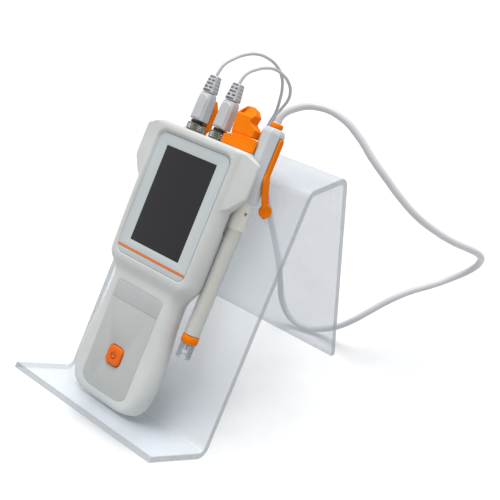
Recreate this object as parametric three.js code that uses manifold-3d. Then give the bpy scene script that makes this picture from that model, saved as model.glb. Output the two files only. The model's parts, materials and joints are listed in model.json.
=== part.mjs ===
// Handheld water-quality meter that leans on a clear bent stand, with its clipped glass electrode.
// Most pieces are built in the frame of the sloping plate: x to the right, s up the plate, h out of
// the plate. The whole model is then turned about X by the plate's angle and set down on Z = 0.
// All lengths are in millimetres.
import * as THREE from 'three';
import { mergeVertices } from 'three/addons/utils/BufferGeometryUtils.js';
import Module from 'manifold-3d';

const wasm = await Module();
wasm.setup();

// ---------- driving dimensions ----------
const TILT = 56 * Math.PI / 180;          // plate angle over the table
const GAP = 0.3;                          // clearance between touching pieces

// clear stand
const STAND_W = 147;
const STAND_T = 4.5;
const PLATE_L = 200;
const LIP_L = 57.3;
const TOP_L = 44.5;
const TOP_DROP = 62 * Math.PI / 180;      // the top flat turns this much from the plate
const BEND_R = 6.75;                      // bend radius at mid thickness

// meter housing
const DX = -7.1;                          // middle of the meter on the stand
const FACE_UP = 38;                       // front height of the screen part
const FACE_LOW = 34;                      // front height of the handle
const TOP_S = 208.8;
const WALL = 2.4;
const PART_H = 18;                        // parting line of the two shells
const EDGE_R = 9;                         // rounding of the front edges
const BEZEL = { half: 35, low: 107.4, high: 201, depth: 0.7, thick: 1.2 };
const SCREEN = { half: 24.5, low: 119.2, high: 192.6 };
const STRIPE = { half: 34.2, s: 112.4, wide: 1.7 };
const PAD = { half: 23.4, high: 88.5, name: 75.6 };
const KEY = { half: 7.1, s: 36.9, corner: 4.1 };
const EAR_W = 55;                         // how far a holder reaches from the meter's middle

// connectors on the top edge
const PLUG_H = 20;
const PLUG_X = [DX - 20.4, DX + 2.1];
const RING = { r: 7, low: 209.2, high: 214.9, teeth: 30 };
const SOCKET_R = 4.8;
const BORE_R = 5.1;
const BOOT = { low: 217.6, high: 239 };
const RELIEF_HIGH = 252.6;
const RELIEF_RIBS = 5;

// electrode
const PROBE_X = 37.8;
const PROBE_H = 17.3;
const HEAD = { low: 176.3, high: 231.6, flats: 16 };
const SHAFT_R = 6;
const SLEEVE_HIGH = 155.8;
const LOWER_RING = { low: 68.8, high: 74.4, r: 6.25 };
const GUARD_LOW = 57.3;
const STRAP = { low: 199.2, high: 225.8, half: 2.15, inner: PROBE_X + 7.4, outer: PROBE_X + 9.9 };

// cords
const THICK_D = 5.2;
const THIN_D = 2.4;

// ---------- solids ----------
// merged positions only, as the boolean library needs them
function bare(geometry) {
  const plain = geometry.index ? geometry.toNonIndexed() : geometry.clone();
  for (const name of Object.keys(plain.attributes)) {
    if (name !== 'position') plain.deleteAttribute(name);
  }
  return mergeVertices(plain, 1e-4);
}

function manifoldOf(vertProperties, triangles) {
  const triVerts = new Uint32Array(triangles);
  return new wasm.Manifold(new wasm.Mesh({ numProp: 3, vertProperties, triVerts }));
}

function solidOf(geometry) {
  const merged = bare(geometry);
  const vertices = new Float32Array(merged.attributes.position.array);
  const index = merged.index.array;
  const triangles = [];
  for (let i = 0; i < index.length; i += 3) {
    const [a, b, c] = [index[i], index[i + 1], index[i + 2]];
    if (a !== b && b !== c && a !== c) triangles.push(a, b, c);
  }
  const solid = manifoldOf(vertices, triangles);
  if (solid.volume() >= 0) return solid;
  for (let i = 0; i < triangles.length; i += 3) {
    [triangles[i + 1], triangles[i + 2]] = [triangles[i + 2], triangles[i + 1]];
  }
  return manifoldOf(vertices, triangles);
}

function geometryOf(solid) {
  const mesh = solid.getMesh();
  const stride = mesh.numProp;
  const count = mesh.vertProperties.length / stride;
  const positions = new Float32Array(count * 3);
  for (let i = 0; i < count; i++) {
    for (let k = 0; k < 3; k++) positions[3 * i + k] = mesh.vertProperties[stride * i + k];
  }
  const geometry = new THREE.BufferGeometry();
  geometry.setAttribute('position', new THREE.BufferAttribute(positions, 3));
  geometry.setIndex(new THREE.BufferAttribute(new Uint32Array(mesh.triVerts), 1));
  return geometry;
}

const sum = solids => solids.reduce((a, b) => a.add(b));
const shapeOf = points => new THREE.Shape(points.map(p => new THREE.Vector2(p[0], p[1])));

// block between its low and high corners [x, s, h]
function box(low, high) {
  const size = low.map((v, i) => high[i] - v);
  const middle = low.map((v, i) => (v + high[i]) / 2);
  const geometry = new THREE.BoxGeometry(...size);
  geometry.translate(...middle);
  return solidOf(geometry);
}

// outline of [x, s] points raised from one height to another
function plan(points, low, high) {
  const geometry = new THREE.ExtrudeGeometry(shapeOf(points), { depth: high - low, bevelEnabled: false });
  geometry.translate(0, 0, low);
  return solidOf(geometry);
}

// outline of [x, h] points drawn along s
function section(points, low, high) {
  const geometry = new THREE.ExtrudeGeometry(shapeOf(points), { depth: high - low, bevelEnabled: false });
  geometry.rotateX(Math.PI / 2);
  geometry.translate(0, high, 0);
  return solidOf(geometry);
}

function rounded(x0, s0, x1, s1, r, steps = 4) {
  const corners = [[x1 - r, s1 - r, 0], [x0 + r, s1 - r, 1], [x0 + r, s0 + r, 2], [x1 - r, s0 + r, 3]];
  const points = [];
  for (const [cx, cy, quarter] of corners) {
    for (let i = 0; i <= steps; i++) {
      const a = (quarter + i / steps) * Math.PI / 2;
      points.push([cx + r * Math.cos(a), cy + r * Math.sin(a)]);
    }
  }
  return points;
}

const roundedAbout = (x, s, half, r, steps) => rounded(x - half, s - half, x + half, s + half, r, steps);

// closed profile of [radius, s] points turned about the s direction at (x, h)
function turned(profile, x, h, segments, phase = 0) {
  const points = profile.concat([profile[0]]).map(p => new THREE.Vector2(Math.max(p[0], 0), p[1]));
  const geometry = new THREE.LatheGeometry(points, segments);
  geometry.rotateY(phase);
  geometry.translate(x, 0, h);
  return solidOf(geometry);
}

function rod(r, low, high, x, h, segments) {
  return turned([[0, low], [r, low], [r, high], [0, high]], x, h, segments);
}

function tube(inner, outer, low, high, x, h, segments) {
  return turned([[inner, low], [outer, low], [outer, high], [inner, high]], x, h, segments);
}

// round bar that stands out of the plate
function post(r, x, s, low, high, segments) {
  const geometry = new THREE.CylinderGeometry(r, r, high - low, segments);
  geometry.rotateX(Math.PI / 2);
  geometry.translate(x, s, (low + high) / 2);
  return solidOf(geometry);
}

// closed skin through rings of equal point count
function loft(rings) {
  const n = rings[0].length;
  const last = rings.length - 1;
  const positions = rings.flat(2);
  const triangles = [];
  for (let i = 0; i < last; i++) {
    for (let j = 0; j < n; j++) {
      const a = i * n + j;
      const b = i * n + (j + 1) % n;
      triangles.push(a, b, b + n, a, b + n, a + n);
    }
  }
  for (const end of [0, last]) {
    const centre = positions.length / 3;
    for (let k = 0; k < 3; k++) positions.push(rings[end].reduce((total, p) => total + p[k] / n, 0));
    for (let j = 0; j < n; j++) {
      const a = end * n + j;
      const b = end * n + (j + 1) % n;
      if (end === 0) triangles.push(centre, b, a);
      else triangles.push(centre, a, b);
    }
  }
  const geometry = new THREE.BufferGeometry();
  geometry.setAttribute('position', new THREE.BufferAttribute(new Float32Array(positions), 3));
  geometry.setIndex(triangles);
  return solidOf(geometry);
}

// ---------- materials: colour, roughness, metalness, opacity ----------
const LOOKS = {
  acrylic: [0xdfe6ea, 0.1, 0, 0.35],
  shell: [0xcdd3d4, 0.45, 0, 1],
  bezel: [0xb8c3c8, 0.4, 0, 1],
  screen: [0x3a3a3f, 0.2, 0, 1],
  overlay: [0xb2b4b2, 0.5, 0, 1],
  nameField: [0xbcc2c4, 0.45, 0, 1],
  stripe: [0xeb8228, 0.4, 0, 1],
  key: [0xeb6414, 0.4, 0, 1],
  silicone: [0xff8000, 0.6, 0, 1],
  boot: [0xb4b6bc, 0.45, 0, 1],
  cable: [0xc8cace, 0.45, 0, 1],
  thinCable: [0xb8bac0, 0.45, 0, 1],
  nickel: [0x8d8d88, 0.3, 1, 1],
  darkMetal: [0x33332f, 0.4, 1, 1],
  steel: [0x8c8f92, 0.35, 1, 1],
  head: [0xd4d8dd, 0.3, 0, 1],
  core: [0xc8c8c0, 0.45, 0, 1],
  clear: [0xe4ecf0, 0.05, 0, 0.35],
  black: [0x2c2c30, 0.6, 0, 1],
  board: [0x2f6b45, 0.5, 0, 1],
  cell: [0x3f6ea8, 0.35, 0, 1],
};

const parts = [];

function add(name, solid, look) {
  parts.push({ name, solid, look });
}

// ---------- clear stand ----------
// height of the table, measured from the foot line of the plate
const FLOOR = STAND_T * (Math.sin(TILT) + Math.cos(TILT)) - 2 * STAND_T;

// the sheet's middle line as [point, direction] pairs in (s, h), from the lip's end to the leg's foot
function standLine() {
  const down = new THREE.Vector2(-Math.sin(TILT), -Math.cos(TILT));
  const ridge = new THREE.Vector2(PLATE_L, 0);
  const back = new THREE.Vector2(Math.cos(TOP_DROP), -Math.sin(TOP_DROP)).multiplyScalar(TOP_L).add(ridge);
  const leg = -back.dot(down) - FLOOR;
  const faces = [new THREE.Vector2(0, LIP_L), new THREE.Vector2(0, 0), ridge, back,
    down.clone().multiplyScalar(leg).add(back)];
  const ways = faces.slice(1).map((p, i) => p.clone().sub(faces[i]).normalize());
  const below = (p, way) => new THREE.Vector2(p.x + way.y * STAND_T / 2, p.y - way.x * STAND_T / 2);
  const line = [[below(faces[0], ways[0]), ways[0]]];
  const steps = 7;
  for (let i = 1; i < 4; i++) {
    const [u, v] = [ways[i - 1], ways[i]];
    const a = below(faces[i], u);
    const b = below(faces[i], v);
    const reach = b.clone().sub(a).cross(v) / u.cross(v);
    const turn = Math.atan2(u.cross(v), u.dot(v));
    const side = Math.sign(turn) * BEND_R;
    const start = u.clone().multiplyScalar(reach - BEND_R * Math.tan(Math.abs(turn) / 2)).add(a);
    const centre = new THREE.Vector2(start.x - u.y * side, start.y + u.x * side);
    for (let j = 0; j <= steps; j++) {
      const way = u.clone().rotateAround(new THREE.Vector2(), turn * j / steps);
      line.push([new THREE.Vector2(centre.x + way.y * side, centre.y - way.x * side), way]);
    }
  }
  line.push([below(faces[4], ways[3]), ways[3]]);
  return line;
}

function standSheet() {
  const line = standLine();
  const side = sign => line.map(([p, way]) => {
    const reach = sign * STAND_T / 2;
    return [p.x - way.y * reach, p.y + way.x * reach];
  });
  const outline = side(1).concat(side(-1).reverse());
  const geometry = new THREE.ExtrudeGeometry(shapeOf(outline), { depth: STAND_W, bevelEnabled: false });
  const drawnAlongX = new THREE.Matrix4().set(
    0, 0, 1, -STAND_W / 2,
    1, 0, 0, 0,
    0, 1, 0, 0,
    0, 0, 0, 1);
  geometry.applyMatrix4(drawnAlongX);
  return solidOf(geometry);
}
add('display_stand', standSheet(), 'acrylic');

// ---------- housing ----------
// [s, half width, front height, back height]
const STATIONS = [
  [0.4, 20, 27.5, 8], [1.4, 25, 31, 5], [3.2, 29.5, 33, 2.8], [6, 33, 33.8, 1.2], [10, 35.8, FACE_LOW, 0.4],
  [17, 38, FACE_LOW, 0.3], [29, 39.2, FACE_LOW, 0.3], [41, 39.2, FACE_LOW, 0.3], [53, 37.4, FACE_LOW, 0.3],
  [66, 35.6, FACE_LOW, 0.3], [80, 34.6, FACE_LOW, 0.3], [89, 34.5, FACE_LOW, 0.3], [94, 35.8, 34.5, 0.3],
  [98, 38.4, 35.6, 0.3], [102, 41.4, 37, 0.3], [105, 43, 37.8, 0.3], [108, 43.8, FACE_UP, 0.3],
  [150, 43.8, FACE_UP, 0.3], [203, 43.8, FACE_UP, 0.3], [207, 43.7, FACE_UP, 0.3], [208.3, 43.2, 37.5, 0.8],
  [TOP_S, 42.4, 36.7, 1.6],
];

// a cross-section of the housing: flat front, round shoulders, sides that draw in to the flat back
function housingRing([s, half, front, back], inset) {
  const w = half - inset;
  const f = front - inset;
  const b = back + inset;
  const r = Math.max(EDGE_R - inset, 2);
  const right = [];
  for (let i = 0; i <= 4; i++) {
    const a = i * Math.PI / 8;
    right.push([w - r + r * Math.sin(a), f - r + r * Math.cos(a)]);
  }
  const drawIn = Math.min(22, w - 4);
  for (let i = 0; i <= 6; i++) {
    const a = i * Math.PI / 12;
    right.push([w - 5.5 - drawIn + drawIn * Math.cos(a), PART_H - (PART_H - b) * Math.sin(a)]);
  }
  const left = right.map(([x, h]) => [-x, h]).reverse();
  return right.concat(left).map(([x, h]) => [DX + x, s, h]);
}

const skin = loft(STATIONS.map(station => housingRing(station, 0)));

function holder(side) {
  const at = ([x, v]) => [DX + side * x, v];
  const outline = [[30, 207.4], [43, 207.4], [46.5, 206.2], [53.8, 203.6], [EAR_W, 201.8], [EAR_W, 179.4],
    [54.4, 177.4], [45.5, 167.4], [30, 160]];
  const slope = [[28, 30], [38, 36.6], [44, 35.4], [53.8, 32.6], [EAR_W, 31.9], [EAR_W, 30.5], [53, 29.6],
    [46, 27.4], [28, 21]];
  return plan(outline.map(at), PART_H + 0.2, 40).intersect(section(slope.map(at), 150, 215));
}

const bothSides = make => make(-1).add(make(1));
const channelX = side => DX + side * (PROBE_X - DX);
const headCorner = HEAD.flats / 2 / Math.cos(Math.PI / 8);
const channels = bothSides(side => rod(headCorner + GAP, 160, 215, channelX(side), PROBE_H, 32));
const channelWalls = bothSides(side => rod(headCorner + WALL, 150, 220, channelX(side), PROBE_H, 24));
const hollowStations = STATIONS.filter(([s]) => s > 5 && s < 204);
hollowStations.push([TOP_S - WALL, 43.4, FACE_UP, 0.3]);
const hollow = loft(hollowStations.map(station => housingRing(station, WALL))).subtract(channelWalls);

const bezelTop = FACE_UP - BEZEL.depth;
function bezelOutline(grow) {
  return rounded(DX - BEZEL.half - grow, BEZEL.low - grow, DX + BEZEL.half + grow, BEZEL.high + grow,
    6 + grow);
}
function screenOutline(grow) {
  return rounded(DX - SCREEN.half - grow, SCREEN.low - grow, DX + SCREEN.half + grow, SCREEN.high + grow,
    0.5 + grow, 2);
}
function padOutline(grow) {
  const w = PAD.half + grow;
  const corner = 3;
  const points = [];
  for (const [side, first] of [[1, 0], [-1, 3]]) {
    for (let i = first; i <= first + 3; i++) {
      const a = i * Math.PI / 6;
      const s = PAD.high + grow - corner + corner * Math.sin(a);
      points.push([DX + side * (w - corner) + corner * Math.cos(a), s]);
    }
  }
  const left = [[-1, 16], [-0.955, 13.2], [-0.85, 11.5], [-0.55, 9.4], [-0.2, 8.5]];
  const right = left.map(([x, s]) => [-x, s]).reverse();
  return points.concat(left.concat(right).map(([x, s]) => [DX + w * x, s - grow]));
}
const keyHole = low => plan(roundedAbout(DX, KEY.s, KEY.half + 0.5, KEY.corner + 0.5), low, 60);
const caseScrews = [[DX - 27.5, 18], [DX + 27.5, 18], [DX - 30, 150], [DX + 30, 150]];
const doorScrews = [[DX, 22], [DX, 78]];
const socketHoles = sum(PLUG_X.map(x => rod(BORE_R, 200, 215, x, PLUG_H, 24)));
const auxHole = box([DX + 17.7, 203, 12.7], [DX + 30.3, 212, 21.3]);

function frontShell() {
  const half = box([-120, -5, PART_H + GAP / 2], [120, 260, 60]);
  const tray = plan(bezelOutline(GAP), bezelTop - BEZEL.thick - GAP, 60);
  const screenHole = box([DX - 27.6, 116, 30], [DX + 27.6, 196, 60]);
  const padTray = plan(padOutline(GAP), FACE_LOW - 0.9, 60);
  const cuts = [hollow, channels, tray, screenHole, padTray, keyHole(28), socketHoles, auxHole];
  return cuts.reduce((solid, cut) => solid.subtract(cut), skin.add(bothSides(holder)).intersect(half));
}

const doorBlock = grow => plan(rounded(DX - 17 - grow, 16 - grow, DX + 17 + grow, 84 + grow, 4), -10, 6);

function rearShell() {
  const half = box([-120, -5, -20], [120, 260, PART_H - GAP / 2]);
  const cuts = [hollow, channels, socketHoles, auxHole, doorBlock(GAP)];
  const cup = cuts.reduce((solid, cut) => solid.subtract(cut), skin.intersect(half));
  const pillars = sum(caseScrews.map(([x, s]) => post(4.4, x, s, 3.2, 14.2, 16).intersect(skin)));
  const holes = sum(caseScrews.map(([x, s]) => post(2.5, x, s, -5, 14.2, 16)));
  return cup.add(pillars).subtract(holes);
}

function batteryDoor() {
  const holes = sum(doorScrews.map(([x, s]) => post(1.9, x, s, -5, 20, 16)));
  return skin.subtract(hollow).intersect(doorBlock(0)).subtract(holes);
}

// seal that follows the parting line, open where the sockets are
function caseSeal() {
  const along = STATIONS.filter(([s]) => s > 8 && s < 196);
  const outline = inset => {
    const right = [[24 - inset, 3 + inset]];
    for (const [s, half] of along) right.push([s > 140 ? 35.2 - inset : half - 5.5 - inset, s]);
    right.push([35.2 - inset, 196 - inset]);
    const left = right.map(([x, s]) => [-x, s]).reverse();
    return right.concat(left).map(([x, s]) => [DX + x, s]);
  };
  const ring = inset => plan(outline(inset), PART_H - 0.9, PART_H + 0.9);
  const mouth = box([DX - 28, 180, 0], [DX + 28, 215, 40]);
  return ring(WALL + 0.7).subtract(ring(WALL + 2.2)).subtract(mouth);
}

add('front_shell', frontShell(), 'shell');
add('rear_shell', rearShell(), 'shell');
add('case_seal', caseSeal(), 'black');
add('battery_door', batteryDoor(), 'shell');
doorScrews.forEach(([x, s], i) => {
  add(`door_screw_${i + 1}`, post(1.6, x, s, 0.5, 8.5, 14).add(post(1.25, x, s, 8.5, 9, 14)), 'steel');
});
caseScrews.forEach(([x, s], i) => {
  add(`case_screw_${i + 1}`, post(2.1, x, s, 9.6, 12, 14).add(post(1.2, x, s, 12, 14, 12)), 'steel');
});

// ---------- face ----------
function stripeBox(grow, low, high) {
  const half = STRIPE.wide / 2 + grow;
  const wide = STRIPE.half + grow;
  return box([DX - wide, STRIPE.s - half, low], [DX + wide, STRIPE.s + half, high]);
}
const bezelPlate = plan(bezelOutline(0), bezelTop - BEZEL.thick, bezelTop);
const overlay = plan(padOutline(0), FACE_LOW - 0.6, FACE_LOW + 0.1);
const aboveLine = s => box([DX - 60, s, 20], [DX + 60, 100, 60]);
const keyCap = plan(roundedAbout(DX, KEY.s, KEY.half, KEY.corner), 30.6, FACE_LOW + 0.8);
const keyTop = plan(roundedAbout(DX, KEY.s, KEY.half - 1, KEY.corner - 0.7), 30, FACE_LOW + 1.3);
const screenHoleInBezel = plan(screenOutline(GAP), 30, 60);
const stripeGroove = stripeBox(GAP, bezelTop - 0.5, 60);
add('screen_bezel', bezelPlate.subtract(screenHoleInBezel).subtract(stripeGroove), 'bezel');
add('screen_glass', plan(screenOutline(0), bezelTop - BEZEL.thick, bezelTop - 0.02), 'screen');
add('accent_stripe', stripeBox(0, bezelTop - 0.2, bezelTop + 0.1), 'stripe');
add('lcd_module', box([DX - 27, 116.5, bezelTop - 5.6], [DX + 27, 195.5, bezelTop - 1.5]), 'black');
add('keypad_panel', overlay.subtract(keyHole(20)).subtract(aboveLine(PAD.name - GAP)), 'overlay');
add('name_plate', overlay.intersect(aboveLine(PAD.name)), 'nameField');
add('power_button', keyCap.add(keyTop), 'key');

// ---------- inside the meter ----------
const boardLow = box([DX - 27, 30, 24.2], [DX + 27, 108, 25.8]);
const boardHigh = box([DX - 25, 100, 24.2], [DX + 25, 196, 25.8]);
const switchBody = box([DX - 3.1, KEY.s - 3.1, 26.1], [DX + 3.1, KEY.s + 3.1, 27.6]);
add('main_board', boardLow.add(boardHigh), 'board');
add('tact_switch', switchBody.add(post(1.7, DX, KEY.s, 27.6, 28.6, 14)), 'darkMetal');
add('battery_pack', plan(rounded(DX - 16, 20, DX + 16, 80, 3, 2), 9.4, 22), 'cell');
add('buzzer', post(6, DX - 14, 150, 18.5, 23.9, 18), 'black');

// ---------- sockets, coupling rings and plugs ----------
function panelSocket(x) {
  const profile = [[0, 198], [SOCKET_R, 198], [SOCKET_R, 214.6], [2.2, 214.6], [2.2, 209], [0, 209]];
  return turned(profile, x, PLUG_H, 20);
}

function couplingRing(x) {
  const teeth = [];
  for (let i = 0; i < RING.teeth * 2; i++) {
    const a = i * Math.PI / RING.teeth;
    const r = i % 2 ? RING.r : RING.r - 0.45;
    teeth.push([x + r * Math.cos(a), PLUG_H + r * Math.sin(a)]);
  }
  const knurl = section(teeth, RING.low + 0.9, RING.high - 0.7);
  const lips = rod(RING.r - 0.5, RING.low, RING.high, x, PLUG_H, 24);
  return knurl.add(lips).subtract(rod(BORE_R, 200, 220, x, PLUG_H, 24));
}

// rounded block that narrows upwards, with an arched pad on its front
function plugBoot(x) {
  const ring = ([s, w, depth]) => rounded(x - w, PLUG_H - depth, x + w, PLUG_H + depth, 2.4, 3)
    .map(([px, h]) => [px, s, h]);
  const body = loft([[BOOT.low, 6, 4.5], [BOOT.low + 0.6, 6.3, 4.8], [BOOT.high - 5, 6, 4.6],
    [BOOT.high - 0.8, 5.3, 4.2], [BOOT.high, 4.7, 3.8]].map(ring));
  const archR = 4.1;
  const arch = [[x - archR, BOOT.low + 1.5], [x + archR, BOOT.low + 1.5]];
  for (let i = 0; i <= 8; i++) {
    const a = i * Math.PI / 8;
    arch.push([x + archR * Math.cos(a), BOOT.high - 6.6 + archR * Math.sin(a)]);
  }
  return body.add(plan(arch, PLUG_H + 3, PLUG_H + 5.1));
}

function strainRelief(x) {
  const low = BOOT.high + GAP;
  const pitch = (RELIEF_HIGH - low) / RELIEF_RIBS;
  const profile = [[0, low]];
  for (let i = 0; i < RELIEF_RIBS; i++) {
    const s = low + i * pitch;
    const r = 4.7 - 0.35 * i;
    const waist = r - 1.6;
    const top = s + pitch - 0.25;
    profile.push([waist, s], [waist, s + 0.9], [r, s + 0.9], [r - 0.1, top], [waist, top]);
  }
  profile.push([0, RELIEF_HIGH - 0.25]);
  return turned(profile, x, PLUG_H, 16);
}

['left', 'right'].forEach((side, i) => {
  const x = PLUG_X[i];
  const nut = rod(7.6, 203.4, 206, x, PLUG_H, 6).subtract(rod(BORE_R, 200, 210, x, PLUG_H, 24));
  add(`panel_socket_${side}`, panelSocket(x), 'nickel');
  add(`socket_nut_${side}`, nut, 'nickel');
  add(`coupling_ring_${side}`, couplingRing(x), 'nickel');
  add(`plug_collar_${side}`, rod(5.3, RING.high + GAP, BOOT.low - GAP, x, PLUG_H, 20), 'darkMetal');
  add(`plug_boot_${side}`, plugBoot(x), 'boot');
  add(`strain_relief_${side}`, strainRelief(x), 'boot');
});

// ---------- silicone port covers ----------
const onMeter = points => points.map(([x, s]) => [DX + x, s]);

function portBand() {
  const block = section(rounded(DX + 11, 9.5, DX + 42.4, 28, 2.5, 3), TOP_S + GAP, 219);
  const topLine = [[60, 217.8], [42, 218.5], [38, 218.9], [26, 218.3], [15, 216.8], [0, 215]];
  const top = plan(onMeter([[0, 200], [60, 200], ...topLine]), 0, 40);
  const mouth = section(rounded(DX + 15.5, 11.5, DX + 32.5, 23, 2, 2), 200, 214);
  const headRoom = rod(9.5, 200, 245, PROBE_X, PROBE_H, 32);
  return block.intersect(top).subtract(mouth).subtract(headRoom);
}

// the lifting cap: a notched block with a slanted top, a finger pocket and a flat side by the electrode
function portCap() {
  const outline = [[15.6, 219.4], [14.2, 235], [15.4, 238], [25.5, 238.6], [29.4, 234.6], [28.4, 229.4],
    [35, 225], [35.2, 219.4]];
  const block = plan(onMeter(outline), 15.6, 26);
  const slant = new THREE.BoxGeometry(80, 30, 30);
  slant.translate(0, 15, 15);
  slant.rotateX(-0.85);
  slant.translate(DX, 232.4, 26);
  const headSide = box([PROBE_X - 9.4, 200, -10], [PROBE_X + 20, 250, 60]);
  const pocket = box([DX + 15.4, 229, 19.4], [DX + 18.8, 245, 24.4]);
  return block.subtract(solidOf(slant)).subtract(headSide).subtract(pocket);
}

function plugCap() {
  const outline = [[-32.4, 209.2], [-32.4, 233], [-30.4, 236], [-21.6, 236], [-17.6, 229.5], [-17.6, 209.2]];
  return plan(onMeter(outline), 5.6, 12.5).subtract(post(5, DX - 24, 225, 9, 20, 20));
}

const auxBody = box([DX + 18, 203, 13], [DX + 30, 209.4, 21]);
add('aux_socket', auxBody.subtract(box([DX + 20, 205, 15], [DX + 28, 215, 19])), 'black');
add('port_cover_base', portBand(), 'silicone');
add('port_cover_cap', portCap(), 'silicone');
add('dust_cap_left', plugCap(), 'silicone');

// ---------- electrode ----------
function electrodeHead() {
  const profile = [[0, HEAD.low], [8, HEAD.low], [headCorner, HEAD.low + 1], [headCorner, 228], [7.6, 230.4],
    [5.4, HEAD.high], [0, HEAD.high]];
  const seat = box([STRAP.inner - GAP, STRAP.low - 1.5, PROBE_H - STRAP.half - GAP],
    [PROBE_X + 12, STRAP.high + GAP, PROBE_H + STRAP.half + GAP]);
  const shaftHole = rod(SHAFT_R + GAP, 150, HEAD.low + 6, PROBE_X, PROBE_H, 28);
  return turned(profile, PROBE_X, PROBE_H, 8, Math.PI / 8).subtract(seat).subtract(shaftHole);
}

// the core stands up inside the head and has a small filling hole just under it
function innerCore() {
  const top = HEAD.low + 5.6;
  const thin = rod(5.3, 75, top, PROBE_X, PROBE_H, 24);
  const thick = rod(SHAFT_R - 0.05, SLEEVE_HIGH + GAP, top, PROBE_X, PROBE_H, 28);
  const hole = new THREE.CylinderGeometry(1.3, 1.3, 8, 12);
  hole.rotateZ(Math.PI / 2);
  hole.translate(7, 0, 0);
  hole.rotateY(-0.35);
  hole.translate(PROBE_X, 168.6, PROBE_H);
  return thin.add(thick).subtract(solidOf(hole));
}

function bulbGuard() {
  const high = LOWER_RING.low - GAP;
  const sleeve = tube(4.5, 5.6, GUARD_LOW, high, PROBE_X, PROBE_H, 28);
  const rim = tube(3.4, 5.6, LOWER_RING.low - 2, high, PROBE_X, PROBE_H, 28);
  let guard = sleeve.add(rim);
  for (let i = 0; i < 4; i++) {
    const slot = new THREE.BoxGeometry(3.2, 7.5, 8);
    slot.translate(0, 0, 6);
    slot.rotateY(i * Math.PI / 2 + 0.6);
    slot.translate(PROBE_X, GUARD_LOW + 3.4, PROBE_H);
    guard = guard.subtract(solidOf(slot));
  }
  return guard;
}

const collarProfile = [[0, HEAD.high + GAP], [4.5, HEAD.high + GAP], [4.5, 234.6], [3.9, 235.2], [0, 235.2]];
const bulbProfile = [[0, 59.6], [1.6, 59.9], [2.7, 61], [3, 62.4], [2.7, 63.8], [1.9, 64.8], [1.9, 74.6],
  [0, 74.6]];
const strapOutline = rounded(STRAP.inner, STRAP.low, STRAP.outer, STRAP.high, 0.5, 1);
const sleeveLow = LOWER_RING.high + GAP;
add('electrode_head', electrodeHead(), 'head');
add('cable_collar', turned(collarProfile, PROBE_X, PROBE_H, 20), 'silicone');
add('strap_inlay', plan(strapOutline, PROBE_H - STRAP.half, PROBE_H + STRAP.half), 'silicone');
add('inner_core', innerCore(), 'core');
add('clear_sleeve', tube(5.6, SHAFT_R, sleeveLow, SLEEVE_HIGH, PROBE_X, PROBE_H, 28), 'clear');
add('lower_ring', tube(3.4, LOWER_RING.r, LOWER_RING.low, LOWER_RING.high, PROBE_X, PROBE_H, 28), 'silicone');
add('guard_cage', bulbGuard(), 'clear');
add('glass_bulb', turned(bulbProfile, PROBE_X, PROBE_H, 18), 'clear');

// ---------- hanging stopper ----------
// Upright points are X right, Y away and Z up from the foot line of the plate.
const toUpright = (x, s, h) => new THREE.Vector3(x, s * Math.cos(TILT) - h * Math.sin(TILT),
  s * Math.sin(TILT) + h * Math.cos(TILT));

// tail from the strap's foot straight down, ending in a disc with a plug on its inner side
function stopper() {
  const foot = toUpright((STRAP.inner + STRAP.outer) / 2 + 0.3, STRAP.low - 1.3, PROBE_H);
  const drops = [[0, 0, 0], [0.7, -2, -5], [0.7, -2.6, -12], [1.1, -2.9, -22]];
  const points = drops.map(([x, y, z]) => foot.clone().add(new THREE.Vector3(x, y, z)));
  const path = new THREE.CatmullRomCurve3(points);
  const steps = 9;
  const rings = [];
  for (let i = 0; i <= steps; i++) {
    const at = path.getPoint(i / steps);
    const along = path.getTangent(i / steps);
    const out = new THREE.Vector3(1, 0, 0).addScaledVector(along, -along.x).normalize();
    const wide = along.clone().cross(out);
    const half = STRAP.half + Math.min(i, 4) * 0.22;
    const corners = [[-0.75, -half], [0.75, -half], [0.75, half], [-0.75, half]];
    const corner = ([a, b]) => at.clone().addScaledVector(out, a).addScaledVector(wide, b).toArray();
    rings.push(corners.map(corner));
  }
  const end = points[points.length - 1];
  const disc = (r, inner, outer, segments) => {
    const geometry = new THREE.CylinderGeometry(r, r, outer - inner, segments);
    geometry.rotateZ(Math.PI / 2);
    geometry.translate(end.x + (inner + outer) / 2, end.y, end.z - 3.4);
    return solidOf(geometry);
  };
  const upright = loft(rings).add(disc(4.8, -1.4, 1.4, 22)).add(disc(1.4, -3.6, 0, 12));
  const geometry = geometryOf(upright);
  geometry.rotateX(-TILT);
  return solidOf(geometry);
}
add('stopper', stopper(), 'silicone');

// ---------- cords ----------
// upright route points over the table, from where each cord leaves its plug or collar
const THICK_ROUTE = [
  [37.8, 117.4, 208], [38.1, 119.9, 211.8], [44.9, 127.6, 217.7], [59.4, 135.6, 220.2], [75.1, 140.9, 215.1],
  [88.3, 143.7, 204.2], [100.3, 144.2, 191.5], [112.1, 146.4, 178.9], [123.1, 150.3, 165.8], [133.4, 156.6, 153.2],
  [143, 165.9, 142], [151.7, 177.1, 131.7], [158.3, 190.2, 122.4], [161, 204.1, 112.1], [158.5, 215.6, 99.7],
  [150.2, 220.6, 86], [138, 216.6, 74.7], [125.8, 206.9, 66.8], [113.1, 196.6, 60.1], [101.7, 186.8, 51.6],
  [90.8, 178.1, 41.1], [79.6, 171.6, 29.6], [66.8, 169.2, 18], [53, 168.4, 8.6], [38.2, 165.2, 3.4],
  [22.6, 161.9, 7.2], [12.4, 161.3, 20.6], [8.8, 161.9, 38.3], [6.5, 162, 55.6], [2.8, 162.1, 72.7],
  [-2.6, 162.7, 89.3], [-9, 164.5, 105.5], [-14.4, 166.6, 120.4], [-17.2, 167.8, 128.4],
];
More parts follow.
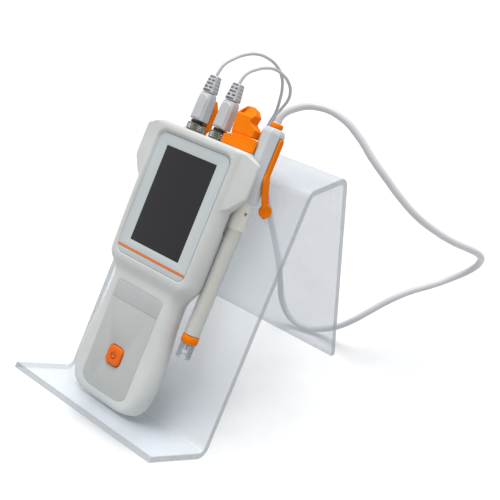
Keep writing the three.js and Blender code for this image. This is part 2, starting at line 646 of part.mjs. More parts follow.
const THIN_LEFT_ROUTE = [
  [-27.5, 124.93, 223.82], [-26.7, 132, 230], [-24.9, 141.4, 232.8], [-22.6, 150.8, 233.8], [-19.1, 159.9, 232.8],
  [-14.8, 167.6, 228.7], [-10.6, 173.3, 222], [-7.9, 176.3, 213.1], [-7.3, 176.4, 203.3], [-8.2, 174.6, 193.8],
  [-10.3, 173.3, 184.8], [-13.8, 170, 175.6], [-16.4, 166.6, 166.4], [-17.9, 165.8, 157.2],
];
const THIN_RIGHT_ROUTE = [
  [-5, 124.93, 223.82], [-4.1, 131.4, 228.9], [-2.1, 140.3, 230.4], [-0.4, 149.1, 229.6], [1.3, 157.3, 226.6],
  [3.3, 164.3, 220.8], [4.4, 169.5, 213.7], [3.7, 172.8, 205.5], [0.7, 173.8, 197.1], [-3.8, 171.4, 189.4],
  [-8.4, 168.8, 181], [-11.3, 166.8, 173], [-13.6, 166.4, 165.6], [-14.3, 165.6, 157.2],
];

function fromUpright(x, y, z) {
  const up = z + FLOOR;
  const cos = Math.cos(TILT);
  const sin = Math.sin(TILT);
  return new THREE.Vector3(x, y * cos + up * sin, up * cos - y * sin);
}

function cord(route, diameter, steps, sides) {
  const points = route.map(p => fromUpright(...p));
  const extrudePath = new THREE.CatmullRomCurve3(points, false, 'centripetal');
  const circle = [];
  for (let i = 0; i < sides; i++) {
    const a = 2 * Math.PI * i / sides;
    circle.push([diameter / 2 * Math.cos(a), diameter / 2 * Math.sin(a)]);
  }
  return solidOf(new THREE.ExtrudeGeometry(shapeOf(circle), { steps, extrudePath, bevelEnabled: false }));
}

// moulded Y-piece where the thick cable divides: [part of its length, half width, half depth]
function cableSplitter() {
  const low = fromUpright(-17.6, 167.95, 129.9);
  const high = fromUpright(-16.1, 165.7, 156.8);
  const length = low.distanceTo(high);
  const along = high.clone().sub(low).normalize();
  const side = new THREE.Vector3(1, 0, 0).addScaledVector(along, -along.x).normalize();
  const depth = along.clone().cross(side);
  const profile = [[0, 3.2, 3.2], [0.25, 3.5, 3.5], [0.4, 4.4, 4.2], [0.85, 4.6, 3.6], [1, 4, 2.6]];
  const sides = 16;
  return loft(profile.map(([part, w, d]) => {
    const ring = [];
    for (let i = 0; i < sides; i++) {
      const a = 2 * Math.PI * i / sides;
      const at = low.clone().addScaledVector(along, part * length);
      ring.push(at.addScaledVector(side, w * Math.cos(a)).addScaledVector(depth, d * Math.sin(a)).toArray());
    }
    return ring;
  }));
}

add('thick_cable', cord(THICK_ROUTE, THICK_D, 56, 10), 'cable');
add('thin_cable_left', cord(THIN_LEFT_ROUTE, THIN_D, 30, 8), 'thinCable');
add('thin_cable_right', cord(THIN_RIGHT_ROUTE, THIN_D, 30, 8), 'thinCable');
add('cable_splitter', cableSplitter(), 'boot');

// ---------- assembly ----------
// The origin is under the middle of everything but the cords, on the table.
const cordNodes = new Set(['thick_cable', 'thin_cable_left', 'thin_cable_right', 'cable_splitter']);
const bounds = new THREE.Box3();
for (const part of parts) {
  part.geometry = geometryOf(part.solid);
  part.geometry.rotateX(TILT);
  part.geometry.computeBoundingBox();
  if (!cordNodes.has(part.name)) bounds.union(part.geometry.boundingBox);
}
const middle = bounds.getCenter(new THREE.Vector3());
const group = new THREE.Group();
for (const { name, geometry, look } of parts) {
  const [color, roughness, metalness, opacity] = LOOKS[look];
  geometry.translate(-middle.x, -middle.y, -bounds.min.z);
  geometry.computeVertexNormals();
  const transparent = opacity < 1;
  const material = new THREE.MeshStandardMaterial({ color, roughness, metalness, transparent, opacity });
  const mesh = new THREE.Mesh(geometry, material);
  mesh.name = name;
  group.add(mesh);
}
export default group;
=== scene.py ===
"""Looks of a handheld water quality meter that leans on a clear bent stand, with its clipped electrode.

Most pieces are built in the frame of the sloping plate, in millimetres: x to the right, s up the
plate, h out of the plate. SLOPE turns that frame into the row frame, in metres.
"""
import json
import math

import bmesh
import bpy
from mathutils import Matrix, Vector
from mathutils.geometry import interpolate_bezier


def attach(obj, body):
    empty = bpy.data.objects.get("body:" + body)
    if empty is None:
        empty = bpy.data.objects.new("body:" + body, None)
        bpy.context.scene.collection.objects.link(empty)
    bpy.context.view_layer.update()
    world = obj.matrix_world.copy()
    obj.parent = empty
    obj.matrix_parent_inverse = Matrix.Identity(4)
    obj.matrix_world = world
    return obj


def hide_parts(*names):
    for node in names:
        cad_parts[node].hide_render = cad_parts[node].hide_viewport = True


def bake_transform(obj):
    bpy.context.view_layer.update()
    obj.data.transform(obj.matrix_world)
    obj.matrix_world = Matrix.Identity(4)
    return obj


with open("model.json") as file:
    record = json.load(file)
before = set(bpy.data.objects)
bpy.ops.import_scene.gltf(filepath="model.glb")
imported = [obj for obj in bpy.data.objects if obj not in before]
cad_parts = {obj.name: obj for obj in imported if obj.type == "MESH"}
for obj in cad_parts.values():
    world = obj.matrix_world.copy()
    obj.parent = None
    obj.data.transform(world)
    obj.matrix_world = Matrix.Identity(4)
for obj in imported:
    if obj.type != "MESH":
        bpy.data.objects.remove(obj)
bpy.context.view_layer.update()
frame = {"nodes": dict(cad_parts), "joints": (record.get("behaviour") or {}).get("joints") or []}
JOINTS = {joint["name"]: joint for joint in frame["joints"]}


# ---------- frames ----------
def joint_at(name):
    return Vector(JOINTS[name]["pos_m"])


MM = 0.001
ACROSS = Vector((1, 0, 0))
UP_SLOPE = Vector(JOINTS["coupling_left_turn"]["axis"])
OUT = Vector((0, -UP_SLOPE.z, UP_SLOPE.y))
RING_AT = Vector((-27.5, 212.0, 20.0))   # x, s and h of the left coupling ring's joint
RING_REACH = RING_AT.x * ACROSS + RING_AT.y * UP_SLOPE + RING_AT.z * OUT
CORNER = joint_at("coupling_left_turn") - MM * RING_REACH    # where x, s and h are zero
SLOPE = Matrix((
    (MM, 0, 0, CORNER.x),
    (0, MM * UP_SLOPE.y, MM * OUT.y, CORNER.y),
    (0, MM * UP_SLOPE.z, MM * OUT.z, CORNER.z),
    (0, 0, 0, 1),
))
ROOT = "meter_on_stand"

# ---------- driving dimensions, mm ----------
DX = -7.1                    # middle of the meter on the stand
WALL = 2.4
FACE_UP, FACE_LOW = 38.0, 34.0           # the face round the screen and the handle's face
PART_H, PART_GAP = 18.0, 0.16            # parting line of the two shells, and half of its gap
TOP_S = 208.8                            # top end of the meter
BEZEL = (34.4, 107.4, 201.0)             # half width, low and high end
SCREEN = (24.5, 119.2, 192.6)
STRIPE = (34.2, 112.4, 0.85)             # half length, middle and half width
PAD_HALF, PAD_LOW, PAD_HIGH, NAME_S = 23.4, 8.5, 88.5, 75.6
PAD_TURN = 16.0                          # where the overlay starts to round off at its foot
PAD_DEPTH = 0.8                          # of the pocket that it lies in
KEY_S, KEY_HALF, KEY_R, KEY_GAP = 36.9, 7.1, 4.1, 0.6
PLUG_X = (DX - 20.4, DX + 2.1)
PLUG_H = 20.0
RING_LOW, RING_HIGH, RING_R = 209.2, 214.9, 7.0
BOOT_LOW, BOOT_HIGH, RELIEF_HIGH = 217.6, 239.0, 252.6
PROBE_X, PROBE_H = 37.8, 17.3            # electrode axis
HEAD_LOW, HEAD_HIGH, HEAD_R = 176.3, 231.6, 8.66
SLEEVE_LOW, SLEEVE_HIGH = 74.75, 155.8
GUARD_LOW, GUARD_HIGH = 57.3, 68.5
SIDES = ("left", "right")

# ---------- camera and light ----------
CAMERA_AT = Vector((0.39633, -0.37309, 0.45750))
CAMERA_AZIMUTH, CAMERA_ELEVATION, CAMERA_ROLL = (math.radians(a) for a in (41.211, 32.043, 0.583))
CAMERA_LENS, CAMERA_SENSOR = 63.38, 36.0
WORLD_STRENGTH = 0.6
SUN_STRENGTH, SUN_SPREAD = 2.65, math.radians(42)
SUN_FROM = Vector((-0.1, 0.18, 0.97))


def make_camera():
    """The camera at its fitted place, angle and field of view."""
    a, e = CAMERA_AZIMUTH, CAMERA_ELEVATION
    back = Vector((math.sin(a) * math.cos(e), -math.cos(a) * math.cos(e), math.sin(e)))
    level = Vector((math.cos(a), math.sin(a), 0))
    right = Matrix.Rotation(CAMERA_ROLL, 3, back) @ level
    up = back.cross(right)
    data = bpy.data.cameras.new("camera")
    data.lens = CAMERA_LENS
    data.sensor_width = CAMERA_SENSOR
    camera = bpy.data.objects.new("camera", data)
    bpy.context.scene.collection.objects.link(camera)
    turn = Matrix((right, up, back)).transposed().to_4x4()
    camera.matrix_world = Matrix.Translation(CAMERA_AT) @ turn
    bpy.context.scene.camera = camera


def make_light():
    """White surroundings and one broad light from overhead, a little to the left."""
    world = bpy.data.worlds.new("studio")
    bpy.context.scene.world = world
    world.use_nodes = True
    background = world.node_tree.nodes["Background"]
    background.inputs["Color"].default_value = (1, 1, 1, 1)
    background.inputs["Strength"].default_value = WORLD_STRENGTH
    data = bpy.data.lights.new("key_sun", "SUN")
    data.energy = SUN_STRENGTH
    data.angle = SUN_SPREAD
    sun = bpy.data.objects.new("key_sun", data)
    bpy.context.scene.collection.objects.link(sun)
    sun.rotation_mode = "QUATERNION"
    sun.rotation_quaternion = SUN_FROM.to_track_quat("Z", "Y")
    view = bpy.context.scene.view_settings
    view.view_transform = "Standard"
    view.look = "None"


make_camera()
make_light()


# ---------- materials ----------
def srgb(red, green, blue):
    """Linear colour of an 8-bit display colour."""
    def linear(c):
        c /= 255
        return c / 12.92 if c <= 0.04045 else ((c + 0.055) / 1.055) ** 2.4
    return linear(red), linear(green), linear(blue), 1.0


class Shader:
    """A principled material with the nodes that the recipes below share."""

    def __init__(self, name):
        self.material = bpy.data.materials.new(name)
        self.material.use_nodes = True
        self.tree = self.material.node_tree
        self.shader = self.tree.nodes["Principled BSDF"]
        self.place = self.tree.nodes.new("ShaderNodeTexCoord").outputs["Object"]

    def node(self, kind, **inputs):
        made = self.tree.nodes.new(kind)
        for key, value in inputs.items():
            self.feed(made.inputs[key.replace("_", " ")], value)
        return made

    def feed(self, socket, value):
        if isinstance(value, bpy.types.NodeSocket):
            self.tree.links.new(value, socket)
        else:
            socket.default_value = value

    def set(self, **inputs):
        for key, value in inputs.items():
            self.feed(self.shader.inputs[key.replace("_", " ")], value)
        return self

    def noise(self, scale, detail=3.0):
        return self.node("ShaderNodeTexNoise", Vector=self.place, Scale=scale, Detail=detail,
                         Roughness=0.55).outputs["Fac"]

    def streaks(self, scale, stretch, detail):
        """Noise drawn out along some axes, for wipe marks and turning marks."""
        place = self.node("ShaderNodeMapping", Vector=self.place, Scale=stretch).outputs["Vector"]
        return self.node("ShaderNodeTexNoise", Vector=place, Scale=scale, Detail=detail).outputs["Fac"]

    def spread(self, value, low, high, start=0.3, end=0.7):
        """value's middle range mapped onto low to high."""
        return self.node("ShaderNodeMapRange", Value=value, From_Min=start, From_Max=end,
                         To_Min=low, To_Max=high).outputs["Result"]

    def mixed(self, factor, first, second):
        """Two colours mixed. The node's colour sockets are 6, 7 and, for the result, 2."""
        made = self.tree.nodes.new("ShaderNodeMix")
        made.data_type = "RGBA"
        for socket, value in zip((0, 6, 7), (factor, first, second)):
            self.feed(made.inputs[socket], value)
        return made.outputs[2]

    def drift(self, scale, detail, color, darker, lighter, start=0.3, end=0.7):
        """A colour that drifts in patches, by so much darker and so much lighter."""
        factor = self.spread(self.noise(scale, detail), 0.0, 1.0, start, end)
        return self.mixed(factor, shade(color, 1 - darker), shade(color, 1 + lighter))

    def added(self, first, second):
        made = self.tree.nodes.new("ShaderNodeMath")
        for socket, value in zip(made.inputs, (first, second)):
            self.feed(socket, value)
        return made.outputs[0]

    def bump(self, height, strength, distance, under=None):
        made = self.node("ShaderNodeBump", Strength=strength, Distance=distance, Height=height)
        if under is not None:
            self.feed(made.inputs["Normal"], under)
        return made.outputs["Normal"]


def shade(color, by):
    """A colour made lighter (by over 1) or darker."""
    return tuple(min(1.0, c * by) for c in color[:3]) + (1.0,)


def moulded(name, color, rough, grain=2200.0, grain_depth=0.00003, waviness=0.0, **more):
    """Moulded plastic or rubber: spark-eroded grain, a slow drift of colour, uneven gloss, and a painted
    highlight that makes the convex edges paler.
    """
    s = Shader(name)
    base = s.drift(38.0, 2.0, color, 0.05, 0.05)
    edge = s.node("ShaderNodeNewGeometry").outputs["Pointiness"]
    # painted highlight: convex edges, picked out by pointiness, are mixed towards a paler colour
    edge_highlight = s.spread(edge, 0.0, 0.35, 0.53, 0.62)
    base = s.mixed(edge_highlight, base, shade(color, 1.12))
    uneven = s.noise(420.0, 3.0)
    normal = s.bump(s.noise(grain, 2.0), 0.5, grain_depth)
    if waviness:
        normal = s.bump(s.noise(60.0, 1.0), waviness, 0.0004, normal)
    s.set(Base_Color=base, Roughness=s.spread(uneven, rough - 0.05, rough + 0.06), Normal=normal)
    return s.set(**more).material


def metal(name, color, rough):
    """Plated or turned metal with fine streaks and stains."""
    s = Shader(name)
    lines = s.streaks(900.0, (1.0, 0.15, 0.15), 4.0)
    s.set(Base_Color=s.drift(260.0, 4.0, color, 0.28, 0.12), Metallic=1.0,
          Roughness=s.spread(lines, rough - 0.07, rough + 0.1), Normal=s.bump(lines, 0.25, 0.00003))
    return s.material


def glass(name, color, ior):
    """Clear glass with fine wipe scratches and a slight waviness."""
    s = Shader(name)
    lines = s.streaks(900.0, (0.2, 1.0, 1.0), 5.0)
    wave = s.bump(s.noise(30.0, 1.0), 0.1, 0.0002)
    s.set(Base_Color=color, Transmission_Weight=1.0, IOR=ior, Roughness=s.spread(lines, 0.0, 0.05, 0.55, 0.8),
          Normal=s.bump(lines, 0.04, 0.00002, wave))
    return s.material


def sheet(name, color, low, high, rough):
    """Clear acrylic with smears and scratches, its density low head on and high at a grazing angle."""
    s = Shader(name)
    lines = s.streaks(800.0, (0.25, 1.0, 1.0), 5.0)
    facing = s.node("ShaderNodeLayerWeight", Blend=0.35).outputs["Facing"]
    smear = s.spread(s.noise(16.0, 1.0), -0.02, 0.03, 0.2, 0.8)
    s.set(Base_Color=s.drift(9.0, 1.0, color, 0.03, 0.02, 0.2, 0.8),
          Alpha=s.added(s.spread(facing, low, high, 0.0, 1.0), smear),
          Roughness=s.spread(lines, rough, rough + 0.12, 0.5, 0.8), Normal=s.bump(lines, 0.02, 0.00001))
    return s.material


def printed(name, color, rough, coat=0.0):
    """Printed or laminated film: very flat, with a faint orange-peel and a few dust specks."""
    s = Shader(name)
    peel = s.bump(s.noise(700.0, 2.0), 0.2, 0.00003)
    speck = s.node("ShaderNodeTexVoronoi", Vector=s.place, Scale=260.0).outputs["Distance"]
    dust = s.spread(speck, 0.35, 0.0, 0.02, 0.05)
    base = s.mixed(dust, s.drift(25.0, 2.0, color, 0.03, 0.03), shade(color, 1.1))
    s.set(Base_Color=base, Roughness=s.spread(s.noise(300.0), rough - 0.04, rough + 0.05), Normal=peel)
    if coat:
        s.set(Coat_Weight=coat, Coat_Roughness=0.08)
    return s.material


def dark_window(name, dark, pale):
    """A switched-off display behind glass: two close shades in soft patches, nearly glossy."""
    s = Shader(name)
    s.set(Base_Color=s.mixed(s.spread(s.noise(14.0, 1.0), 0.0, 1.0), dark, pale),
          Roughness=s.spread(s.noise(500.0), 0.1, 0.15), Specular_IOR_Level=0.35,
          Normal=s.bump(s.noise(45.0, 1.0), 0.05, 0.0002))
    return s.material


SHELL = moulded("shell_plastic", srgb(206, 209, 208), 0.42)
SHELL_BACK = moulded("shell_back_plastic", srgb(204, 207, 207), 0.45)
BEZEL_FILM = printed("bezel_film", srgb(196, 203, 205), 0.5)
STRIPE_INK = printed("stripe_ink", srgb(226, 118, 44), 0.45)
PAD_FILM = printed("overlay_film", srgb(183, 186, 185), 0.5)
NAME_FILM = printed("name_film", srgb(186, 189, 189), 0.48)
KEY_PLASTIC = moulded("key_plastic", srgb(236, 108, 24), 0.5, Specular_IOR_Level=0.2)
KEY_INK = printed("key_ink", srgb(92, 34, 14), 0.6)
SILICONE = moulded("silicone_orange", srgb(248, 128, 0), 0.65, grain=1500.0, waviness=0.15,
                   Specular_IOR_Level=0.12, Sheen_Weight=0.04, Sheen_Tint=srgb(255, 150, 40))
BOOT_PVC = moulded("boot_pvc", srgb(198, 200, 204), 0.42, grain=1800.0)
CABLE_PVC = moulded("cable_pvc", srgb(214, 216, 219), 0.4, grain=1600.0, grain_depth=0.00002, waviness=0.25)
THIN_PVC = moulded("thin_cable_pvc", srgb(196, 198, 201), 0.42, grain=2000.0, grain_depth=0.00002)
NICKEL = metal("nickel", srgb(160, 159, 152), 0.28)
DARK_METAL = metal("dark_metal", srgb(72, 70, 66), 0.35)
SCREW_STEEL = metal("screw_steel", srgb(176, 178, 180), 0.3)
HEAD_PLASTIC = moulded("head_plastic", srgb(204, 209, 213), 0.27, grain=2600.0, grain_depth=0.000015)
CORE_CREAM = moulded("core_cream", srgb(230, 230, 221), 0.4, grain=1600.0)
ACRYLIC = sheet("acrylic", srgb(214, 221, 228), 0.22, 0.7, 0.15)
# the cut edges' material: frosted, and darker grey than the faces as painted internal reflection
ACRYLIC_EDGE_FROST_AND_REFLECTION = sheet("acrylic_cut_edge_frost_and_reflection", srgb(178, 183, 186), 0.6, 0.9, 0.25)
CLEAR_TUBE = sheet("clear_tube", srgb(206, 212, 216), 0.02, 0.55, 0.04)
CLEAR_GUARD = sheet("clear_guard", srgb(160, 168, 174), 0.1, 0.95, 0.03)
BULB_GLASS = glass("bulb_glass", (0.97, 0.99, 1.0, 1), 1.47)
RUBBER_BLACK = moulded("rubber_black", srgb(44, 44, 46), 0.6)
BOARD_GREEN = printed("board_green", srgb(28, 92, 54), 0.35, coat=0.3)
CELL_FILM = printed("cell_film", srgb(52, 96, 160), 0.3, coat=0.4)
SCREEN_WINDOW = dark_window("screen_window", srgb(40, 39, 44), srgb(44, 43, 48))


# ---------- mesh tools ----------
# Shapes are made in the plate's frame, in mm, except where piece is given another turn.
MERGE = 1e-5             # points nearer than this, in the mesh's own unit, become one


def turns(count):
    """Evenly spaced angles of one full turn."""
    return [2 * math.pi * i / count for i in range(count)]


def sweep(start, end, steps):
    """Evenly spaced values from start to end, both included."""
    return [start + (end - start) * i / steps for i in range(steps + 1)]


def mesh_of(verts, faces):
    """A mesh with its coinciding points merged and its faces turned outwards."""
    mesh = bpy.data.meshes.new("shape")
    mesh.from_pydata([tuple(v) for v in verts], [], faces)
    b = bmesh.new()
    b.from_mesh(mesh)
    bmesh.ops.remove_doubles(b, verts=b.verts, dist=MERGE)
    bmesh.ops.recalc_face_normals(b, faces=b.faces)
    b.to_mesh(mesh)
    b.free()
    return mesh


def loft(rings, closed=True, loop=False):
    """A skin through rings of equal point count, with flat caps, or closed on itself as a loop."""
    n = len(rings[0])
    verts = [p for ring in rings for p in ring]
    if loop:
        rings = rings + rings[:1]
        verts = verts + verts[:n]
    faces = []
    for i in range(len(rings) - 1):
        for j in range(n):
            k = (j + 1) % n
            faces.append((i * n + j, i * n + k, (i + 1) * n + k, (i + 1) * n + j))
    if closed:
        faces.append(tuple(range(n))[::-1])
        faces.append(tuple((len(rings) - 1) * n + j for j in range(n)))
    return mesh_of(verts, faces)


def lathe(profile, x, h, count=48, phase=0.0):
    """A closed profile of (radius, s) points turned about the s direction at (x, h)."""
    rings = []
    for a in turns(count):
        across, rise = math.sin(a + phase), math.cos(a + phase)
        rings.append([(x + r * across, s, h + r * rise) for r, s in profile])
    verts = [p for ring in rings for p in ring]
    n = len(profile)
    faces = []
    for i in range(count):
        k = (i + 1) % count
        for j in range(n):
            m = (j + 1) % n
            if profile[j][0] > 0 or profile[m][0] > 0:      # a stretch along the axis makes no face
                faces.append((i * n + j, i * n + m, k * n + m, k * n + j))
    return mesh_of(verts, faces)


def rod(radius, low, high, x, h, count=48):
    return lathe([(0, low), (radius, low), (radius, high), (0, high)], x, h, count)


def rounded(x0, s0, x1, s1, r, n=10):
    """Outline of a rectangle with round corners."""
    out = []
    for cx, cy, q in ((x1 - r, s1 - r, 0), (x0 + r, s1 - r, 1), (x0 + r, s0 + r, 2), (x1 - r, s0 + r, 3)):
        for i in range(n + 1):
            a = (q + i / n) * math.pi / 2
            out.append((cx + r * math.cos(a), cy + r * math.sin(a)))
    return out


def centred(half, low, high, r, n=10):
    """A rounded rectangle whose middle line is the meter's."""
    return rounded(DX - half, low, DX + half, high, r, n)


def plan(outline, low, high):
    """Outline of (x, s) points raised from one height to another."""
    return loft([[(x, s, low) for x, s in outline], [(x, s, high) for x, s in outline]])


def section(outline, low, high):
    """Outline of (x, h) points drawn along s."""
    return loft([[(x, low, h) for x, h in outline], [(x, high, h) for x, h in outline]])


def box(low, high):
    return plan([(low[0], low[1]), (high[0], low[1]), (high[0], high[1]), (low[0], high[1])], low[2], high[2])


def bar(half, low, high, back, front):
    """A box whose middle line is the meter's."""
    return box((DX - half, low, back), (DX + half, high, front))


def post(radius, x, s, low, high, count=32):
    """A round bar that stands out of the plate."""
    return plan([(x + radius * math.cos(a), s + radius * math.sin(a)) for a in turns(count)], low, high)


def joined(*meshes):
    """Several meshes as one, without a boolean."""
    b = bmesh.new()
    for m in meshes:
        b.from_mesh(m)
    made = bpy.data.meshes.new("shape")
    b.to_mesh(made)
    b.free()
    return made


def applied(mesh, *steps):
    """The mesh after a stack of modifiers, each a kind and its settings."""
    temp = bpy.data.objects.new("temp", mesh)
    bpy.context.scene.collection.objects.link(temp)
    for kind, settings in steps:
        modifier = temp.modifiers.new(kind, kind)
        for key, value in settings.items():
            setattr(modifier, key, value)
    graph = bpy.context.evaluated_depsgraph_get()
    made = bpy.data.meshes.new_from_object(temp.evaluated_get(graph))
    bpy.data.objects.remove(temp)
    return made


def combined(base, operation, *others):
    """base joined with, cut by or kept inside each of the other meshes."""
    for other in others:
        tool = bpy.data.objects.new("tool", other)
        bpy.context.scene.collection.objects.link(tool)
        base = applied(base, ("BOOLEAN", {"operation": operation, "object": tool, "solver": "MANIFOLD"}))
        bpy.data.objects.remove(tool)
    return base


def cut(base, *others):
    return combined(base, "DIFFERENCE", *others)


def united(base, *others):
    return combined(base, "UNION", *others)


def kept(base, *others):
    return combined(base, "INTERSECT", *others)


def softened(mesh, voxel, rounds):
    """Remeshed evenly and relaxed, so that every edge gets a moulded radius."""
    return applied(mesh, ("REMESH", {"mode": "VOXEL", "voxel_size": voxel}),
                   ("SMOOTH", {"iterations": rounds}))


def bevelled(mesh, width, segments=3, angle=30.0):
    """Every edge sharper than an angle eased by a width."""
    return applied(mesh, ("BEVEL", {"width": width, "segments": segments, "limit_method": "ANGLE",
                                    "angle_limit": math.radians(angle)}))


def piece(name, mesh, material, body=ROOT, replaces=(), turn=SLOPE, sharp=None):
    """The mesh as a piece of the object, in the row frame."""
    mesh.name = name
    mesh.transform(turn)
    mesh.materials.clear()
    mesh.materials.append(material)
    for polygon in mesh.polygons:
        polygon.use_smooth = True
    if sharp:
        mesh.set_sharp_from_angle(angle=math.radians(sharp))
    made = bpy.data.objects.new(name, mesh)
    bpy.context.scene.collection.objects.link(made)
    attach(made, body)
    if replaces:
        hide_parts(*replaces)
    return made


def smooth_line(points, steps):
    """Catmull-Rom line through points of any dimension, with steps on each stretch."""
    out = []
    for i in range(len(points) - 1):
        a, b, c, d = (points[max(0, min(len(points) - 1, k))] for k in (i - 1, i, i + 1, i + 2))
        for j in range(steps):
            t = j / steps
            out.append(tuple(
                0.5 * (2 * q + (r - p) * t + (2 * p - 5 * q + 4 * r - w) * t * t
                       + (3 * q - p - 3 * r + w) * t ** 3)
                for p, q, r, w in zip(a, b, c, d)))
    out.append(tuple(points[-1]))
    return out


# ---------- cords ----------
# Points over the table in mm, measured from the foot of the plate: x right, y away, z up.
UPRIGHT = Vector((0, CORNER.y, 0))
THICK_ROUTE = [
    (37.8, 117.4, 208), (38.1, 119.9, 211.8), (44.9, 127.6, 217.7), (59.4, 135.6, 220.2),
    (75.1, 140.9, 215.1), (88.3, 143.7, 204.2), (100.3, 144.2, 191.5), (112.1, 146.4, 178.9),
    (123.1, 150.3, 165.8), (133.4, 156.6, 153.2), (143, 165.9, 142), (151.7, 177.1, 131.7),
    (158.3, 190.2, 122.4), (161, 204.1, 112.1), (158.5, 215.6, 99.7), (150.2, 220.6, 86),
    (138, 216.6, 74.7), (125.8, 206.9, 66.8), (113.1, 196.6, 60.1), (101.7, 186.8, 51.6),
    (90.8, 178.1, 41.1), (79.6, 171.6, 29.6), (66.8, 169.2, 18), (53, 168.4, 8.6), (38.2, 165.2, 3.4),
    (22.6, 161.9, 7.2), (12.4, 161.3, 20.6), (8.8, 161.9, 38.3), (6.5, 162, 55.6), (2.8, 162.1, 72.7),
    (-2.6, 162.7, 89.3), (-9, 164.5, 105.5), (-14.4, 166.6, 120.4), (-17.2, 167.8, 128.4)]
THIN_LEFT_ROUTE = [
    (-27.5, 124.93, 223.82), (-26.7, 132, 230), (-24.9, 141.4, 232.8), (-22.6, 150.8, 233.8),
    (-19.1, 159.9, 232.8), (-14.8, 167.6, 228.7), (-10.6, 173.3, 222), (-7.9, 176.3, 213.1),
    (-7.3, 176.4, 203.3), (-8.2, 174.6, 193.8), (-10.3, 173.3, 184.8), (-13.8, 170, 175.6),
    (-16.4, 166.6, 166.4), (-17.9, 165.8, 157.2)]
THIN_RIGHT_ROUTE = [
    (-5, 124.93, 223.82), (-4.1, 131.4, 228.9), (-2.1, 140.3, 230.4), (-0.4, 149.1, 229.6),
    (1.3, 157.3, 226.6), (3.3, 164.3, 220.8), (4.4, 169.5, 213.7), (3.7, 172.8, 205.5), (0.7, 173.8, 197.1),
    (-3.8, 171.4, 189.4), (-8.4, 168.8, 181), (-11.3, 166.8, 173), (-13.6, 166.4, 165.6),
    (-14.3, 165.6, 157.2)]
THICK_SIZE, THIN_SIZE = 0.0052, 0.0024       # diameters, metres


def upright(x, y, z):
    """A point of a cord in the row frame."""
    return UPRIGHT + Vector((x, y, z)) * MM


def cable(name, route, diameter, material, node):
    """A free cable along its route, as one smooth curve."""
    data = bpy.data.curves.new(name, "CURVE")
    data.dimensions = "3D"
    data.bevel_depth = diameter / 2
    data.bevel_resolution = 8
    data.resolution_u = 10
    data.use_fill_caps = True
    line = data.splines.new("BEZIER")
    line.bezier_points.add(len(route) - 1)
    for point, at in zip(line.bezier_points, route):
        point.co = upright(*at)
        point.handle_left_type = point.handle_right_type = "AUTO"
    data.materials.append(material)
    made = bpy.data.objects.new(name, data)
    bpy.context.scene.collection.objects.link(made)
    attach(made, ROOT)
    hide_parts(node)
    return made


def make_splitter():
    """Moulded Y-piece: a ribbed round body for the thick cable that flattens towards the two thin ones."""
    low, high = upright(-17.6, 167.95, 129.9), upright(-16.1, 165.7, 156.8)
    along = high - low
    way = along.normalized()
    side = (ACROSS - way * way.x).normalized()
    depth = way.cross(side)
    # part of the length, half width, half depth
    profile = [(0.0, 2.7, 2.7), (0.01, 3.1, 3.1), (0.03, 3.3, 3.3)]
    for k in range(3):
        t = 0.06 + 0.075 * k
        profile += [(t, 3.4, 3.4), (t + 0.012, 2.95, 2.95), (t + 0.03, 2.95, 2.95), (t + 0.042, 3.45, 3.45)]
    profile += [(0.3, 3.7, 3.7), (0.37, 4.25, 4.1), (0.42, 4.5, 4.2), (0.6, 4.65, 3.95), (0.85, 4.6, 3.5),
                (0.94, 4.4, 3.1), (0.98, 4.1, 2.7), (1.0, 3.7, 2.3)]
    rings = []
    for t, rx, ry in profile:
        rings.append([low + along * t + (side * rx * math.cos(a) + depth * ry * math.sin(a)) * MM
                      for a in turns(40)])
    return piece("cable_splitter_moulding", loft(rings), BOOT_PVC, replaces=["cable_splitter"],
                 turn=Matrix.Identity(4), sharp=50)


splitter = make_splitter()
cable("thick_cable_sheath", THICK_ROUTE, THICK_SIZE, CABLE_PVC, "thick_cable")
cable("thin_cable_sheath_left", THIN_LEFT_ROUTE, THIN_SIZE, THIN_PVC, "thin_cable_left")
cable("thin_cable_sheath_right", THIN_RIGHT_ROUTE, THIN_SIZE, THIN_PVC,
      "thin_cable_right")


# ---------- housing ----------
# s, half width, height of the front, height of the back
STATIONS = [
    (0.4, 19, 27, 8.5), (0.9, 22.5, 29.6, 6.2), (1.8, 26, 31.6, 4.4), (3.4, 29.8, 32.9, 2.7),
    (6, 33, 33.6, 1.3), (10, 35.8, 33.9, 0.5), (17, 38, 34, 0.3), (29, 39.2, 34, 0.3), (41, 39.2, 34, 0.3),
    (53, 37.6, 34, 0.3), (66, 35.8, 34, 0.3), (80, 34.6, 34, 0.3), (89, 34.5, 33.95, 0.3),
    (93, 35.3, 33.95, 0.3), (96, 36.6, 34.3, 0.3), (99, 38.8, 35.5, 0.3), (102, 41.2, 36.8, 0.3),
    (105, 42.9, 37.3, 0.3), (109, 43.7, 37.4, 0.3), (118, 43.8, 37.7, 0.3), (135, 43.8, 38.3, 0.3),
    (155, 43.8, 38.7, 0.3), (185, 43.8, 38.9, 0.3), (203, 43.8, 38.9, 0.3), (206.4, 43.7, 38.6, 0.4),
    (208.2, 43.1, 37.6, 1.0), (208.8, 42.3, 36.4, 1.8)]
EDGE_R = 9.0
BACK_IN = 27.5                           # how much less wide the flat back is, on each side
EAR_OUT = 55.0
HOLDER_R = 9.0
DOOR = (17.0, 16.0, 84.0)                # half width, low and high end
AUX_HOLE = ((DX + 17.7, 202, 12.7), (DX + 30.3, 212, 21.3))
CASE_SCREWS = [(DX + x, s) for x, s in ((-27.5, 18), (27.5, 18), (-30, 150), (30, 150))]
DOOR_SCREWS = [(DX, s) for s in (22, 78)]
VOXEL = 0.6


